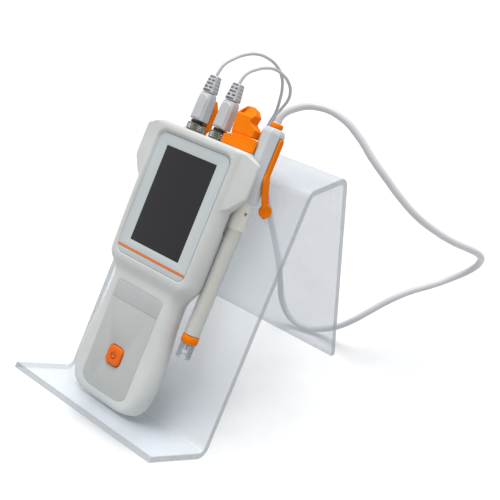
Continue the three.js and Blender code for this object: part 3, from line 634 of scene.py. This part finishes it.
def housing_ring(s, half, front, back, inset=0.0):
    """A cross-section of the housing: flat front, round shoulders, sides that draw in towards a flat back."""
    w, f, b, r = half - inset, front - inset, back + inset, max(EDGE_R - inset, 2)
    right = [(k * (w - r) / 8, f) for k in range(8)]
    right += [(w - r + r * math.sin(a), f - r + r * math.cos(a)) for a in sweep(0, math.pi / 2, 12)]
    shoulder, foot = Vector((w, f - r)), Vector((max(w - BACK_IN, 2), b))
    leave = shoulder - Vector((0, 0.22 * (f - r - b)))
    arrive = foot + Vector((15, 0))
    right += [tuple(p) for p in interpolate_bezier(shoulder, leave, arrive, foot, 22)[1:]]
    right += [(foot.x * (1 - k / 4), b) for k in range(1, 5)]
    left = [(-x, h) for x, h in reversed(right[1:-1])]
    return [(DX + x, s, h) for x, h in right + left]


def housing_skin(inset=0.0, low=0.0, high=TOP_S):
    """The outside of the housing between two places, or a surface at a depth under it."""
    return loft([housing_ring(*q, inset) for q in smooth_line(STATIONS, 6) if low <= q[0] <= high])


def ear(side):
    """An electrode holder: a sloping wing at one side of the top that hooks over the electrode's head."""
    outline = [(30, 207.4), (43, 207.4), (46.5, 206.4), (53.9, 203.7), (EAR_OUT, 202.2), (EAR_OUT, 179),
               (54.3, 177.2), (45.4, 167), (38, 162.4), (30, 159.6)]
    slab = [(28, 30), (35, 37.4), (39.4, 36.9), (44, 35.5), (53.9, 32.7), (EAR_OUT, 32.1), (EAR_OUT, 30.4),
            (53.4, 29.7), (46, 27.2), (28, 21)]
    mesh = plan([(DX + side * x, s) for x, s in outline], 18.4, 44)
    return kept(mesh, section([(DX + side * x, h) for x, h in slab], 150, 215))


def channel(side, radius, low, high):
    """A round bar along the electrode's axis, or mirrored to the left holder."""
    return rod(radius, low, high, DX + side * (PROBE_X - DX), PROBE_H, 64)


def pad_outline(grow=0.0):
    """The overlay's outline: small round corners at the top, one wide curve at the bottom."""
    w, r, out = PAD_HALF + grow, 3.0, []
    for side, start in ((1, 0), (-1, math.pi / 2)):
        for a in sweep(start, start + math.pi / 2, 8):
            out.append((DX + side * (w - r) + r * math.cos(a), PAD_HIGH + grow - r + r * math.sin(a)))
    depth = PAD_TURN - PAD_LOW + grow
    for a in sweep(math.pi, 2 * math.pi, 40):
        c, q = math.cos(a), math.sin(a)
        out.append((DX + w * math.copysign(abs(c) ** 0.42, c), PAD_TURN - depth * abs(q) ** 0.9))
    return out


def key_outline(grow=0.0, r=None):
    """The key's outline, or a larger or smaller one round the same middle."""
    e = KEY_HALF + grow
    return centred(e, KEY_S - e, KEY_S + e, KEY_R + grow if r is None else r)


def bezel_outline(grow=0.0):
    half, low, high = BEZEL
    return centred(half + grow, low - grow, high + grow, 6 + grow, 12)


def frame_recess():
    """The soft-sided tray in the front that the bezel lies in."""
    # how much wider than the bezel, height
    steps = [(0.2, 35.6), (0.2, 37.15), (0.6, 37.2), (1.0, 37.5), (1.9, 38.6), (2.5, 39.2), (3.0, 39.6),
             (3.2, 41)]
    return loft([[(x, s, h) for x, s in bezel_outline(grow)] for grow, h in steps])


def door_block(grow=0.0):
    """The block that parts the battery door from the rear shell, or a larger one for its gap."""
    half, low, high = DOOR
    return plan(centred(half + grow, low - grow, high + grow, 4), -10, 6)


def layer(low, high):
    """A block round everything between two heights."""
    return box((-150, -10, low), (150, 260, high))


def moulded_form():
    """The outside of the meter with its holders, the bezel's tray and the pockets of overlay and key."""
    body = united(housing_skin(), ear(1), ear(-1))
    holders = [channel(side, HOLDER_R, 150, 215) for side in (1, -1)]
    pad_pocket = plan(pad_outline(0.25), FACE_LOW - PAD_DEPTH, 60)
    key_hole = plan(key_outline(KEY_GAP), 28, 60)
    return softened(cut(body, *holders, frame_recess(), pad_pocket, key_hole), VOXEL, 5)


def hollow_form():
    """The room inside the wall, which leaves the holders their own walls."""
    holders = [channel(side, HOLDER_R + 2.2, 140, 230) for side in (1, -1)]
    return cut(housing_skin(WALL, 4.5, 204), *holders)


def make_housing():
    """Both shells and the battery door, cut from one moulded form."""
    display_hole = bar(27.6, 116, 196, 30, 60)
    socket_holes = [rod(5.1, 198, 215, x, PLUG_H) for x in PLUG_X]
    body = cut(moulded_form(), hollow_form(), display_hole, box(*AUX_HOLE), *socket_holes)
    front = kept(body, layer(PART_H + PART_GAP, 80))
    rear = kept(body, layer(-20, PART_H - PART_GAP))
    door = cut(kept(rear, door_block()), *[post(1.9, x, s, -5, 20) for x, s in DOOR_SCREWS])
    rear = cut(rear, door_block(0.3), *[post(2.5, x, s, -5, 14) for x, s in CASE_SCREWS])
    for node, mesh, material in (("front_shell", front, SHELL), ("rear_shell", rear, SHELL_BACK),
                                 ("battery_door", door, SHELL_BACK)):
        piece(node + "_moulding", mesh, material, replaces=[node], sharp=60)


make_housing()


# ---------- face ----------
def make_face():
    """Bezel, screen window, stripe and the overlay on the handle."""
    face = FACE_UP - 0.8    # top of the bezel's plate
    half, low, high = SCREEN
    length, middle, width = STRIPE
    opening = plan(centred(half + 0.15, low - 0.15, high + 0.15, 0.5, 4), 30, 60)
    groove = bar(length + 0.1, middle - width - 0.1, middle + width + 0.1, face - 0.4, 60)
    bezel = cut(plan(bezel_outline(), face - 1.4, face), opening, groove)
    window = plan(centred(half, low, high, 0.5, 4), face - 1.4, face - 0.02)
    stripe = bar(length, middle - width, middle + width, face - 0.35, face + 0.12)
    overlay = plan(pad_outline(), FACE_LOW - PAD_DEPTH + 0.1, FACE_LOW - 0.05)
    hole = plan(key_outline(KEY_GAP), 20, 60)
    panel = cut(overlay, hole, bar(90, NAME_S - 0.15, 120, 0, 60))
    label = kept(overlay, bar(90, NAME_S, 120, 0, 60))
    for name, mesh, edge, material, slot, node in (
            ("bezel_plate", bezel, 0.18, BEZEL_FILM, "bezel_blue_grey", "screen_bezel"),
            ("screen_window", window, 0.12, SCREEN_WINDOW, "screen_dark", "screen_glass"),
            ("stripe_print", stripe, 0.1, STRIPE_INK, "accent_orange", "accent_stripe"),
            ("overlay_film", panel, 0.12, PAD_FILM, "panel_grey", "keypad_panel"),
            ("overlay_name_field", label, 0.12, NAME_FILM, "panel_grey", "name_plate")):
        piece(name, bevelled(mesh, edge), material, replaces=[node], sharp=50)


def power_sign():
    """Outlines of a broken ring and the bar in its gap."""
    outer, inner = 2.6, 1.85
    angles = sweep(math.radians(125), math.radians(415), 36)
    ring = [(outer * math.cos(a), outer * math.sin(a)) for a in angles]
    ring += [(inner * math.cos(a), inner * math.sin(a)) for a in reversed(angles)]
    stroke = [(-0.38, 0.5), (0.38, 0.5), (0.38, 3.1), (-0.38, 3.1)]
    return [[(DX + x, KEY_S + y) for x, y in outline] for outline in (ring, stroke)]


def make_key():
    """The power key: a pillow-topped rounded square with a sunk generic power sign."""
    # how much wider than the key, height
    steps = [(0, 30.6), (0, 34.4), (-0.12, 34.9), (-0.45, 35.25), (-1.1, 35.45), (-2.4, 35.6), (-4.0, 35.66)]
    rings = [[(x, s, h) for x, s in key_outline(grow, max(KEY_R + grow * 0.9, 0.6))] for grow, h in steps]
    key = cut(loft(rings), *[plan(outline, 35.42, 40) for outline in power_sign()])
    ink = joined(*[plan(outline, 35.3, 35.5) for outline in power_sign()])
    piece("power_key_cap", key, KEY_PLASTIC, "power_key", ["power_button"], sharp=40)
    piece("power_key_sign", ink, KEY_INK, "power_key", sharp=40)


make_face()
make_key()


# ---------- plugs and cable ends ----------
KNURL_COUNT, KNURL_ROWS, KNURL_DEPTH, RING_BORE = 22, 2.0, 0.5, 5.15
COLLAR_R = 5.35


def saw(q):
    """A wave of straight slopes between 0 and 1."""
    return abs((q % 1) - 0.5) * 2


def knurled_ring(x):
    """A bored ring whose outside is a diamond knurl between two plain chamfered lips."""
    count, levels = KNURL_COUNT * 8, 20
    valley = RING_R - KNURL_DEPTH

    def circle(r, s):
        return [(x + r * math.sin(a), s, PLUG_H + r * math.cos(a)) for a in turns(count)]

    lower = ((RING_BORE, 0), (RING_R - 0.7, 0), (RING_R - 0.15, 0.35), (RING_R - 0.15, 0.8), (valley, 0.95))
    upper = ((valley, 0.7), (RING_R - 0.3, 0.6), (RING_R - 0.3, 0.25), (RING_R - 0.75, 0), (RING_BORE, 0))
    rings = [circle(r, RING_LOW + up) for r, up in lower]
    start, end = RING_LOW + 1.0, RING_HIGH - 0.75
    for j in range(levels + 1):
        t = j / levels
        ring = []
        for i, a in enumerate(turns(count)):
            u, v = KNURL_COUNT * i / count, KNURL_ROWS * t
            r = valley + KNURL_DEPTH * min(1.0, 1.7 * min(saw(u + v), saw(u - v)))
            ring.append((x + r * math.sin(a), start + (end - start) * t, PLUG_H + r * math.cos(a)))
        rings.append(ring)
    rings += [circle(r, RING_HIGH - down) for r, down in upper]
    return loft(rings, closed=False, loop=True)


def plug_collar(x):
    """The dark collar in the gap between ring and boot."""
    low, high = RING_HIGH + 0.3, BOOT_LOW - 0.3
    return lathe([(0, low), (COLLAR_R - 0.35, low), (COLLAR_R, low + 0.3), (COLLAR_R, high - 0.4),
                  (COLLAR_R - 0.35, high), (0, high)], x, PLUG_H, 64)


def block_ring(x, s, half, depth, corner=2.4):
    """A cross-section of a plug: a rounded rectangle round its axis."""
    return [(px, s, ph) for px, ph in rounded(x - half, PLUG_H - depth, x + half, PLUG_H + depth, corner, 8)]


def boot(x):
    """A moulded plug boot: a rounded block that narrows upwards, with an arched pad on its front and back."""
    body = loft([block_ring(x, s, w, d) for s, w, d in (
        (BOOT_LOW, 5.9, 4.4), (BOOT_LOW + 0.5, 6.3, 4.8), (BOOT_HIGH - 6, 6.05, 4.65),
        (BOOT_HIGH - 3, 5.8, 4.5), (BOOT_HIGH - 1, 5.35, 4.2), (BOOT_HIGH, 4.7, 3.7))])
    low, top, r = BOOT_LOW + 1.2, BOOT_HIGH - 6.2, 4.2
    arch = [(x - r, low), (x + r, low)]
    arch += [(x + r * math.cos(a), top + r * math.sin(a)) for a in sweep(0, math.pi, 20)]
    pads = [plan(arch, PLUG_H + 3, PLUG_H + 5.45), plan(arch, PLUG_H - 5.45, PLUG_H - 3)]
    return softened(united(body, *pads), 0.3, 4)


def relief(x):
    """A tapered strain relief with a brick pattern of slots: one in the middle, then a pair beside it."""
    low, high, rows = BOOT_HIGH + 0.3, RELIEF_HIGH - 0.25, 5
    base, tip = 5.2, 3.8                 # half widths
    floor, bite, past = 1.9, 1.0, 9.0    # the slots' floor, their depth in the sides, and their outer end
    body = loft([block_ring(x, s, w, w * 0.9, w * 0.45) for s, w in (
        (low, base - 0.5), (low + 0.4, base), (high - 0.6, tip), (high, tip - 0.7))])
    pitch = (high - low) / rows
    slots = []
    for k in range(rows):
        s0 = low + 0.45 + k * pitch
        s1 = s0 + 1.45
        w = base + (tip - base) * k / rows
        spans = [(-0.66 * w, 0.66 * w)] if k % 2 == 0 else [(-0.76 * w, -0.13 * w), (0.13 * w, 0.76 * w)]
        for a, b in spans:
            slots.append(box((x + a, s0, PLUG_H + floor), (x + b, s1, PLUG_H + past)))
            slots.append(box((x + a, s0, PLUG_H - past), (x + b, s1, PLUG_H - floor)))
        slots.append(box((x + w - bite, s0, PLUG_H - 0.5 * w), (x + past, s1, PLUG_H + 0.5 * w)))
        slots.append(box((x - past, s0, PLUG_H - 0.5 * w), (x - w + bite, s1, PLUG_H + 0.5 * w)))
    return softened(cut(body, *slots), 0.2, 3)


def make_plugs():
    for side, x in zip(SIDES, PLUG_X):
        piece("knurled_ring_" + side, knurled_ring(x), NICKEL, "ring_" + side,
              ["coupling_ring_" + side], sharp=35)
        piece("dark_collar_" + side, plug_collar(x), DARK_METAL,
              replaces=["plug_collar_" + side], sharp=35)
        piece("boot_moulding_" + side, boot(x), BOOT_PVC, replaces=["plug_boot_" + side])
        piece("relief_moulding_" + side, relief(x), BOOT_PVC, replaces=["strain_relief_" + side])


make_plugs()


# ---------- silicone covers ----------
def hinge_strip(x0, x1, s, h0, h1, reach):
    """A thin tongue across a gap, with enough rows to bend."""
    return loft([[(x0, at, h0), (x1, at, h0), (x1, at, h1), (x0, at, h1)]
                 for at in sweep(s - reach, s + reach, 12)])


def silicone_hinge(name, strip):
    """The strip as a silicone piece with eased edges, taken off its body and left fixed in the row frame."""
    made = piece(name, bevelled(strip, 0.2, 2), SILICONE)
    made.parent = None
    made.matrix_world = Matrix.Identity(4)
    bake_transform(made)


def make_port_cover():
    """The port cover: a fixed band over the data socket and a cap that lifts on a thin strip."""
    top = [(0, 200), (60, 200), (60, 217.4), (42, 218.4), (39, 218.85), (34, 218.8), (26, 218.3), (19, 217.5),
           (15, 216.7), (12, 215.8), (0, 213)]
    band = section(rounded(DX + 11, 9.5, DX + 42.4, 28, 2.5, 6), TOP_S + 0.35, 219)
    band = kept(band, plan([(DX + x, s) for x, s in top], 0, 40))
    mouth = section(rounded(DX + 15.5, 11.5, DX + 32.5, 23, 2, 4), 200, 214)
    band = cut(band, mouth, rod(HOLDER_R + 0.6, 195, 250, PROBE_X, PROBE_H))
    piece("port_band", softened(band, 0.4, 4), SILICONE, replaces=["port_cover_base"])
    outline = [(15.7, 219.5), (14.3, 235), (15.6, 240.2), (21, 240.6), (26, 238.6), (29.4, 234.6),
               (28.4, 229.4), (34.9, 225), (35.1, 219.5)]
    cap = plan([(DX + x, s) for x, s in outline], 15.7, 25.9)
    slant = loft([[(x, 231.9, 26.5), (x, 243, 15.5), (x, 243, 27)] for x in (DX - 20, DX + 60)])
    pocket = box((DX + 15.6, 229.5, 18.6), (DX + 19, 245, 24.4))
    cap = softened(cut(cap, slant, pocket), 0.35, 4)
    piece("port_cap_moulding", cap, SILICONE, "port_cap", ["port_cover_cap"])
    strip = hinge_strip(DX + 16.2, DX + 34.6, 219.1, 24.7, 25.7, 1.5)
    silicone_hinge("port_hinge", strip)


def make_plug_cap():
    """The cap that stands behind the left plug, with the round seat in its face."""
    outline = [(-32.4, 209.3), (-32.4, 233), (-30.4, 236), (-21.6, 236), (-17.6, 229.5), (-17.6, 214),
               (-20.2, 211.4), (-20.2, 209.3)]
    cap = plan([(DX + x, s) for x, s in outline], 5.7, 12.4)
    cap = softened(cut(cap, post(5, DX - 24, 225, 9, 20, 48)), 0.4, 4)
    piece("plug_cap_moulding", cap, SILICONE, "plug_cap", ["dust_cap_left"])
    strip = hinge_strip(DX - 29, DX - 21, 209.4, 6.1, 7.0, 1.3)
    silicone_hinge("plug_cap_hinge", strip)


make_port_cover()
make_plug_cap()


# ---------- electrode ----------
CORE_R, CORE_WIDE_R = 5.3, 5.95


def head_mesh():
    """Eight-sided head with a stepped shoulder, a seat for the strap and a rolled lower rim."""
    profile = [(0, HEAD_LOW), (7.7, HEAD_LOW), (8.3, HEAD_LOW + 0.3), (HEAD_R, HEAD_LOW + 1.1),
               (HEAD_R, HEAD_HIGH - 4.0), (8.3, HEAD_HIGH - 2.7), (7.5, HEAD_HIGH - 1.2),
               (6.4, HEAD_HIGH - 0.4), (5.3, HEAD_HIGH), (0, HEAD_HIGH)]
    head = lathe(profile, PROBE_X, PROBE_H, 8, math.pi / 8)
    seat = plan(rounded(PROBE_X + 7.1, 197.7, PROBE_X + 12, 226.1, 0.6, 3), PROBE_H - 2.45, PROBE_H + 2.45)
    bore = rod(CORE_WIDE_R + 0.07, 150, HEAD_LOW + 6, PROBE_X, PROBE_H, 64)
    return softened(cut(head, seat, bore), 0.3, 2)


STRAP_LIFT = 8.75        # from the head's axis to the strap's middle
STRAP_S = (225.6, 219, 212, 206, 201.5, 199.2)
# The free tail, in mm from the strap's foot: x right, y away, z up.
TAIL = [(0.0, 0.0, 0.0), (0.7, -2.0, -5.0), (0.7, -2.6, -12.0), (1.1, -2.9, -22.0)]


def strap_mesh():
    """The strap from its top end down the head, then the free tail, in the row frame, and the tail's end."""
    seated = [tuple(SLOPE @ Vector((PROBE_X + STRAP_LIFT, s, PROBE_H))) for s in STRAP_S]
    foot = SLOPE @ Vector((PROBE_X + STRAP_LIFT + 0.2, 197.9, PROBE_H))
    line = [Vector(p) for p in smooth_line(seated, 3)]
    bend = len(line) - 2
    line += [foot + Vector(q) * MM for q in smooth_line(TAIL, 5)]
    rings = []
    for i, at in enumerate(line):
        along = (line[min(i + 1, len(line) - 1)] - line[max(i - 1, 0)]).normalized()
        out = (ACROSS - along * along.x).normalized()
        wide = along.cross(out)
        free = max(0.0, min(1.0, (i - bend) / 5))
        half, thick = 2.15 + 1.3 * free, 1.2 - 0.4 * free
        if i == 0:
            half, thick = half - 0.5, thick - 0.3
        outline = rounded(-thick, -half, thick, half, 0.55, 4)
        rings.append([at + (out * px + wide * py) * MM for px, py in outline])
    return loft(rings), line[-1]


def turned_about(centre, way, profile, count=48):
    """A profile of (distance along way, radius) turned about a line through centre, in the row frame."""
    side = way.cross(Vector((0, 0, 1))).normalized()
    rise = side.cross(way)
    rings = []
    for along, r in profile:
        rings.append([centre + (way * along + side * r * math.cos(a) + rise * r * math.sin(a)) * MM
                      for a in turns(count)])
    return loft(rings)


def stopper_mesh(at):
    """A round stopper behind the tail's end: a rimmed disc, its plug on the inner side and a nub below."""
    centre = at + Vector((0.2, 0, -3.4)) * MM
    way = Vector((0.88, -0.44, 0.18)).normalized()
    disc = [(-3.4, 0.8), (-3.1, 1.2), (-1.9, 1.4), (-1.5, 2.2), (-1.45, 4.3), (-1.1, 4.85), (0.7, 4.9),
            (1.1, 4.5), (1.15, 3.6), (0.8, 3.2), (0.75, 0.4)]
    nub = [(-1.6, 1.2), (-1.3, 1.7), (0.4, 1.7), (0.7, 1.2)]
    below = centre + Vector((-0.6, -0.5, -4.3)) * MM
    return [turned_about(centre, way, disc), turned_about(below, way, nub, 24)]


def make_strap():
    """Strap, tail and stopper in one piece, which bends below the strap's foot."""
    band, end = strap_mesh()
    mesh = softened(united(band, *stopper_mesh(end)), 0.28 * MM, 3)
    made = piece("refill_strap", mesh, SILICONE, replaces=["strap_inlay", "stopper"],
                 turn=Matrix.Identity(4))
    made.parent = None
    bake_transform(made)


def cage_mesh():
    """Clear guard: a thin sleeve with four round-ended slots and rolled lips."""
    low, high = GUARD_LOW, GUARD_HIGH
    sleeve = lathe([(4.5, low + 0.2), (4.8, low), (5.35, low), (5.6, low + 0.25), (5.6, high), (3.4, high),
                    (3.4, high - 1.7), (4.5, high - 1.7)], PROBE_X, PROBE_H, 64)
    slots = []
    for k in range(4):
        slot = plan(rounded(-1.6, low - 4, 1.6, low + 7.2, 1.5, 6), 2, 10)
        turn = Matrix.Rotation(k * math.pi / 2 + 0.6, 4, "Y")
        slot.transform(Matrix.Translation((PROBE_X, 0, PROBE_H)) @ turn)
        slots.append(slot)
    return bevelled(cut(sleeve, *slots), 0.12, 2, 40)


def core_mesh():
    """The cream core with its thick upper part, and the blind hole drilled in that."""
    slim = rod(CORE_R, 75, 182, PROBE_X, PROBE_H, 64)
    wide = rod(CORE_WIDE_R, 156.1, 181.9, PROBE_X, PROBE_H, 64)
    drill = rod(1.3, 0, 8, 0, 0, 24)
    sideways = Matrix.Rotation(-0.35, 4, "Y") @ Matrix.Rotation(-math.pi / 2, 4, "Z")
    drill.transform(Matrix.Translation((PROBE_X, 168.6, PROBE_H)) @ sideways)
    return bevelled(cut(united(slim, wide), drill), 0.15, 2)


def bulb_mesh():
    """The glass bulb and its stem."""
    radius, middle = 3.0, 62.5
    profile = [(0, middle - radius + 0.1)]
    profile += [(radius * math.sin(a), middle - (radius - 0.1) * math.cos(a))
                for a in sweep(math.pi / 12, math.pi * 17 / 24, 15)]
    profile += [(1.95, 65.4), (1.9, 66.5), (1.9, 74.6), (0, 74.6)]
    return lathe(profile, PROBE_X, PROBE_H, 64)


def make_electrode():
    x, h = PROBE_X, PROBE_H
    piece("head_moulding", head_mesh(), HEAD_PLASTIC, replaces=["electrode_head"])
    collar = lathe([(0, 231.9), (4.3, 231.9), (4.7, 232.2), (4.7, 234.0), (4.5, 234.7), (3.9, 235.2),
                    (2.7, 235.35), (0, 235.35)], x, h, 64)
    piece("collar_moulding", collar, SILICONE, replaces=["cable_collar"], sharp=50)
    piece("core_moulding", core_mesh(), CORE_CREAM, replaces=["inner_core"], sharp=45)
    sleeve = lathe([(5.6, SLEEVE_LOW), (5.95, SLEEVE_LOW), (6.0, SLEEVE_LOW + 0.1), (6.0, SLEEVE_HIGH - 0.2),
                    (5.92, SLEEVE_HIGH), (5.6, SLEEVE_HIGH)], x, h, 96)
    piece("sleeve_tube", sleeve, CLEAR_TUBE, replaces=["clear_sleeve"], sharp=45)
    low, high = GUARD_HIGH + 0.3, SLEEVE_LOW - 0.35
    ring = lathe([(3.4, low), (5.95, low), (6.25, low + 0.3), (6.25, high - 0.4), (5.95, high - 0.05),
                  (5.7, high), (3.4, high)], x, h, 96)
    piece("lower_ring_moulding", ring, SILICONE, "bulb_guard", ["lower_ring"], sharp=45)
    piece("guard_moulding", cage_mesh(), CLEAR_GUARD, "bulb_guard", ["guard_cage"], sharp=40)
    piece("bulb_moulding", bulb_mesh(), BULB_GLASS, replaces=["glass_bulb"], sharp=60)
    piece("bulb_wire", rod(0.35, 63.5, 74.2, x, h, 16), NICKEL, sharp=50)


make_strap()
make_electrode()


# ---------- stand ----------
STAND_HALF, STAND_T, PLATE_L, LIP_L, TOP_L = 73.5, 4.5, 200.0, 57.3, 44.5
STAND_EDGE_R = 0.45
TOP_DROP, BEND_R = math.radians(62), 6.75
TILT = math.atan2(UP_SLOPE.z, UP_SLOPE.y)


def turned(v, angle):
    """A flat vector turned to the left."""
    c, s = math.cos(angle), math.sin(angle)
    return Vector((v.x * c - v.y * s, v.x * s + v.y * c))


def stand_line():
    """Middle line of the bent sheet in (s, h) with its direction, from the lip's end to the leg's foot."""
    down = Vector((-math.sin(TILT), -math.cos(TILT)))
    floor = STAND_T * (math.sin(TILT) + math.cos(TILT)) - 2 * STAND_T
    ridge = Vector((PLATE_L, 0))
    back = ridge + TOP_L * Vector((math.cos(TOP_DROP), -math.sin(TOP_DROP)))
    leg = back.x * math.sin(TILT) + back.y * math.cos(TILT) - floor
    faces = [Vector((0, LIP_L)), Vector((0, 0)), ridge, back, back + leg * down]
    ways = [(b - a).normalized() for a, b in zip(faces, faces[1:])]

    def off(p, d):
        return p + Vector((d.y, -d.x)) * STAND_T / 2

    line = [(off(faces[0], ways[0]), ways[0])]
    for i in range(1, 4):
        u, v = ways[i - 1], ways[i]
        a, b = off(faces[i], u), off(faces[i], v)
        cross = u.x * v.y - u.y * v.x
        corner = a + u * (((b.x - a.x) * v.y - (b.y - a.y) * v.x) / cross)
        bend = math.atan2(cross, u.dot(v))
        start = corner - u * BEND_R * math.tan(abs(bend) / 2)
        side = math.copysign(1, bend)
        centre = start + Vector((-u.y, u.x)) * side * BEND_R
        for angle in sweep(0, bend, 24):
            d = turned(u, angle)
            line.append((centre + Vector((d.y, -d.x)) * side * BEND_R, d))
    line.append((off(faces[4], ways[3]), ways[3]))
    return line


def make_stand():
    """One bent sheet of clear acrylic with eased cut edges, slightly frosted and a darker grey as painted
    internal reflection, which throws no shadow.
    """
    outline = rounded(-STAND_HALF, -STAND_T / 2, STAND_HALF, STAND_T / 2, STAND_EDGE_R, 4)
    rings = []
    for at, way in stand_line():
        normal = Vector((-way.y, way.x))
        rings.append([(x, *(at + normal * n)) for x, n in outline])
    stand = piece("stand_sheet", loft(rings), ACRYLIC, replaces=["display_stand"], sharp=30)
    stand.visible_shadow = False
    mesh = stand.data
    mesh.materials.append(ACRYLIC_EDGE_FROST_AND_REFLECTION)
    side_from = (STAND_HALF - STAND_EDGE_R - 0.01) * MM
    for polygon in mesh.polygons:
        at_end = len(polygon.vertices) > 4
        if at_end or abs(polygon.center.x) > side_from:
            polygon.material_index = 1


make_stand()


# ---------- floor ----------
FLOOR_HALF, FLOOR_Z = 4.0, -0.0002       # metres


def make_floor():
    """A wide, plain, pale sheet under the object, which throws no light back up at it."""
    mesh = bpy.data.meshes.new("floor")
    n = 8
    places = sweep(-FLOOR_HALF, FLOOR_HALF, n)
    verts = [(x, y, 0) for y in places for x in places]
    faces = [(j * (n + 1) + i, j * (n + 1) + i + 1, (j + 1) * (n + 1) + i + 1, (j + 1) * (n + 1) + i)
             for j in range(n) for i in range(n)]
    mesh.from_pydata(verts, [], faces)
    mesh.materials.append(printed("floor_paper", srgb(228, 229, 230), 0.7))
    floor = bpy.data.objects.new("floor", mesh)
    bpy.context.scene.collection.objects.link(floor)
    floor.location.z = FLOOR_Z
    floor.visible_diffuse = False


make_floor()

# ---------- CAD nodes that stay as they are ----------
KEPT = {
    "case_seal": RUBBER_BLACK, "lcd_module": RUBBER_BLACK, "buzzer": RUBBER_BLACK, "aux_socket": RUBBER_BLACK,
    "main_board": BOARD_GREEN, "battery_pack": CELL_FILM, "tact_switch": DARK_METAL, "panel_socket": NICKEL,
    "socket_nut": NICKEL, "door_screw": SCREW_STEEL, "case_screw": SCREW_STEEL,
}


def finish_kept_nodes():
    """A material for each CAD node that no piece stands for, by the start of its name."""
    for name, node in frame["nodes"].items():
        if node.hide_render:
            continue
        material = next(material for start, material in KEPT.items() if name.startswith(start))
        node.data.materials.clear()
        node.data.materials.append(material)


finish_kept_nodes()
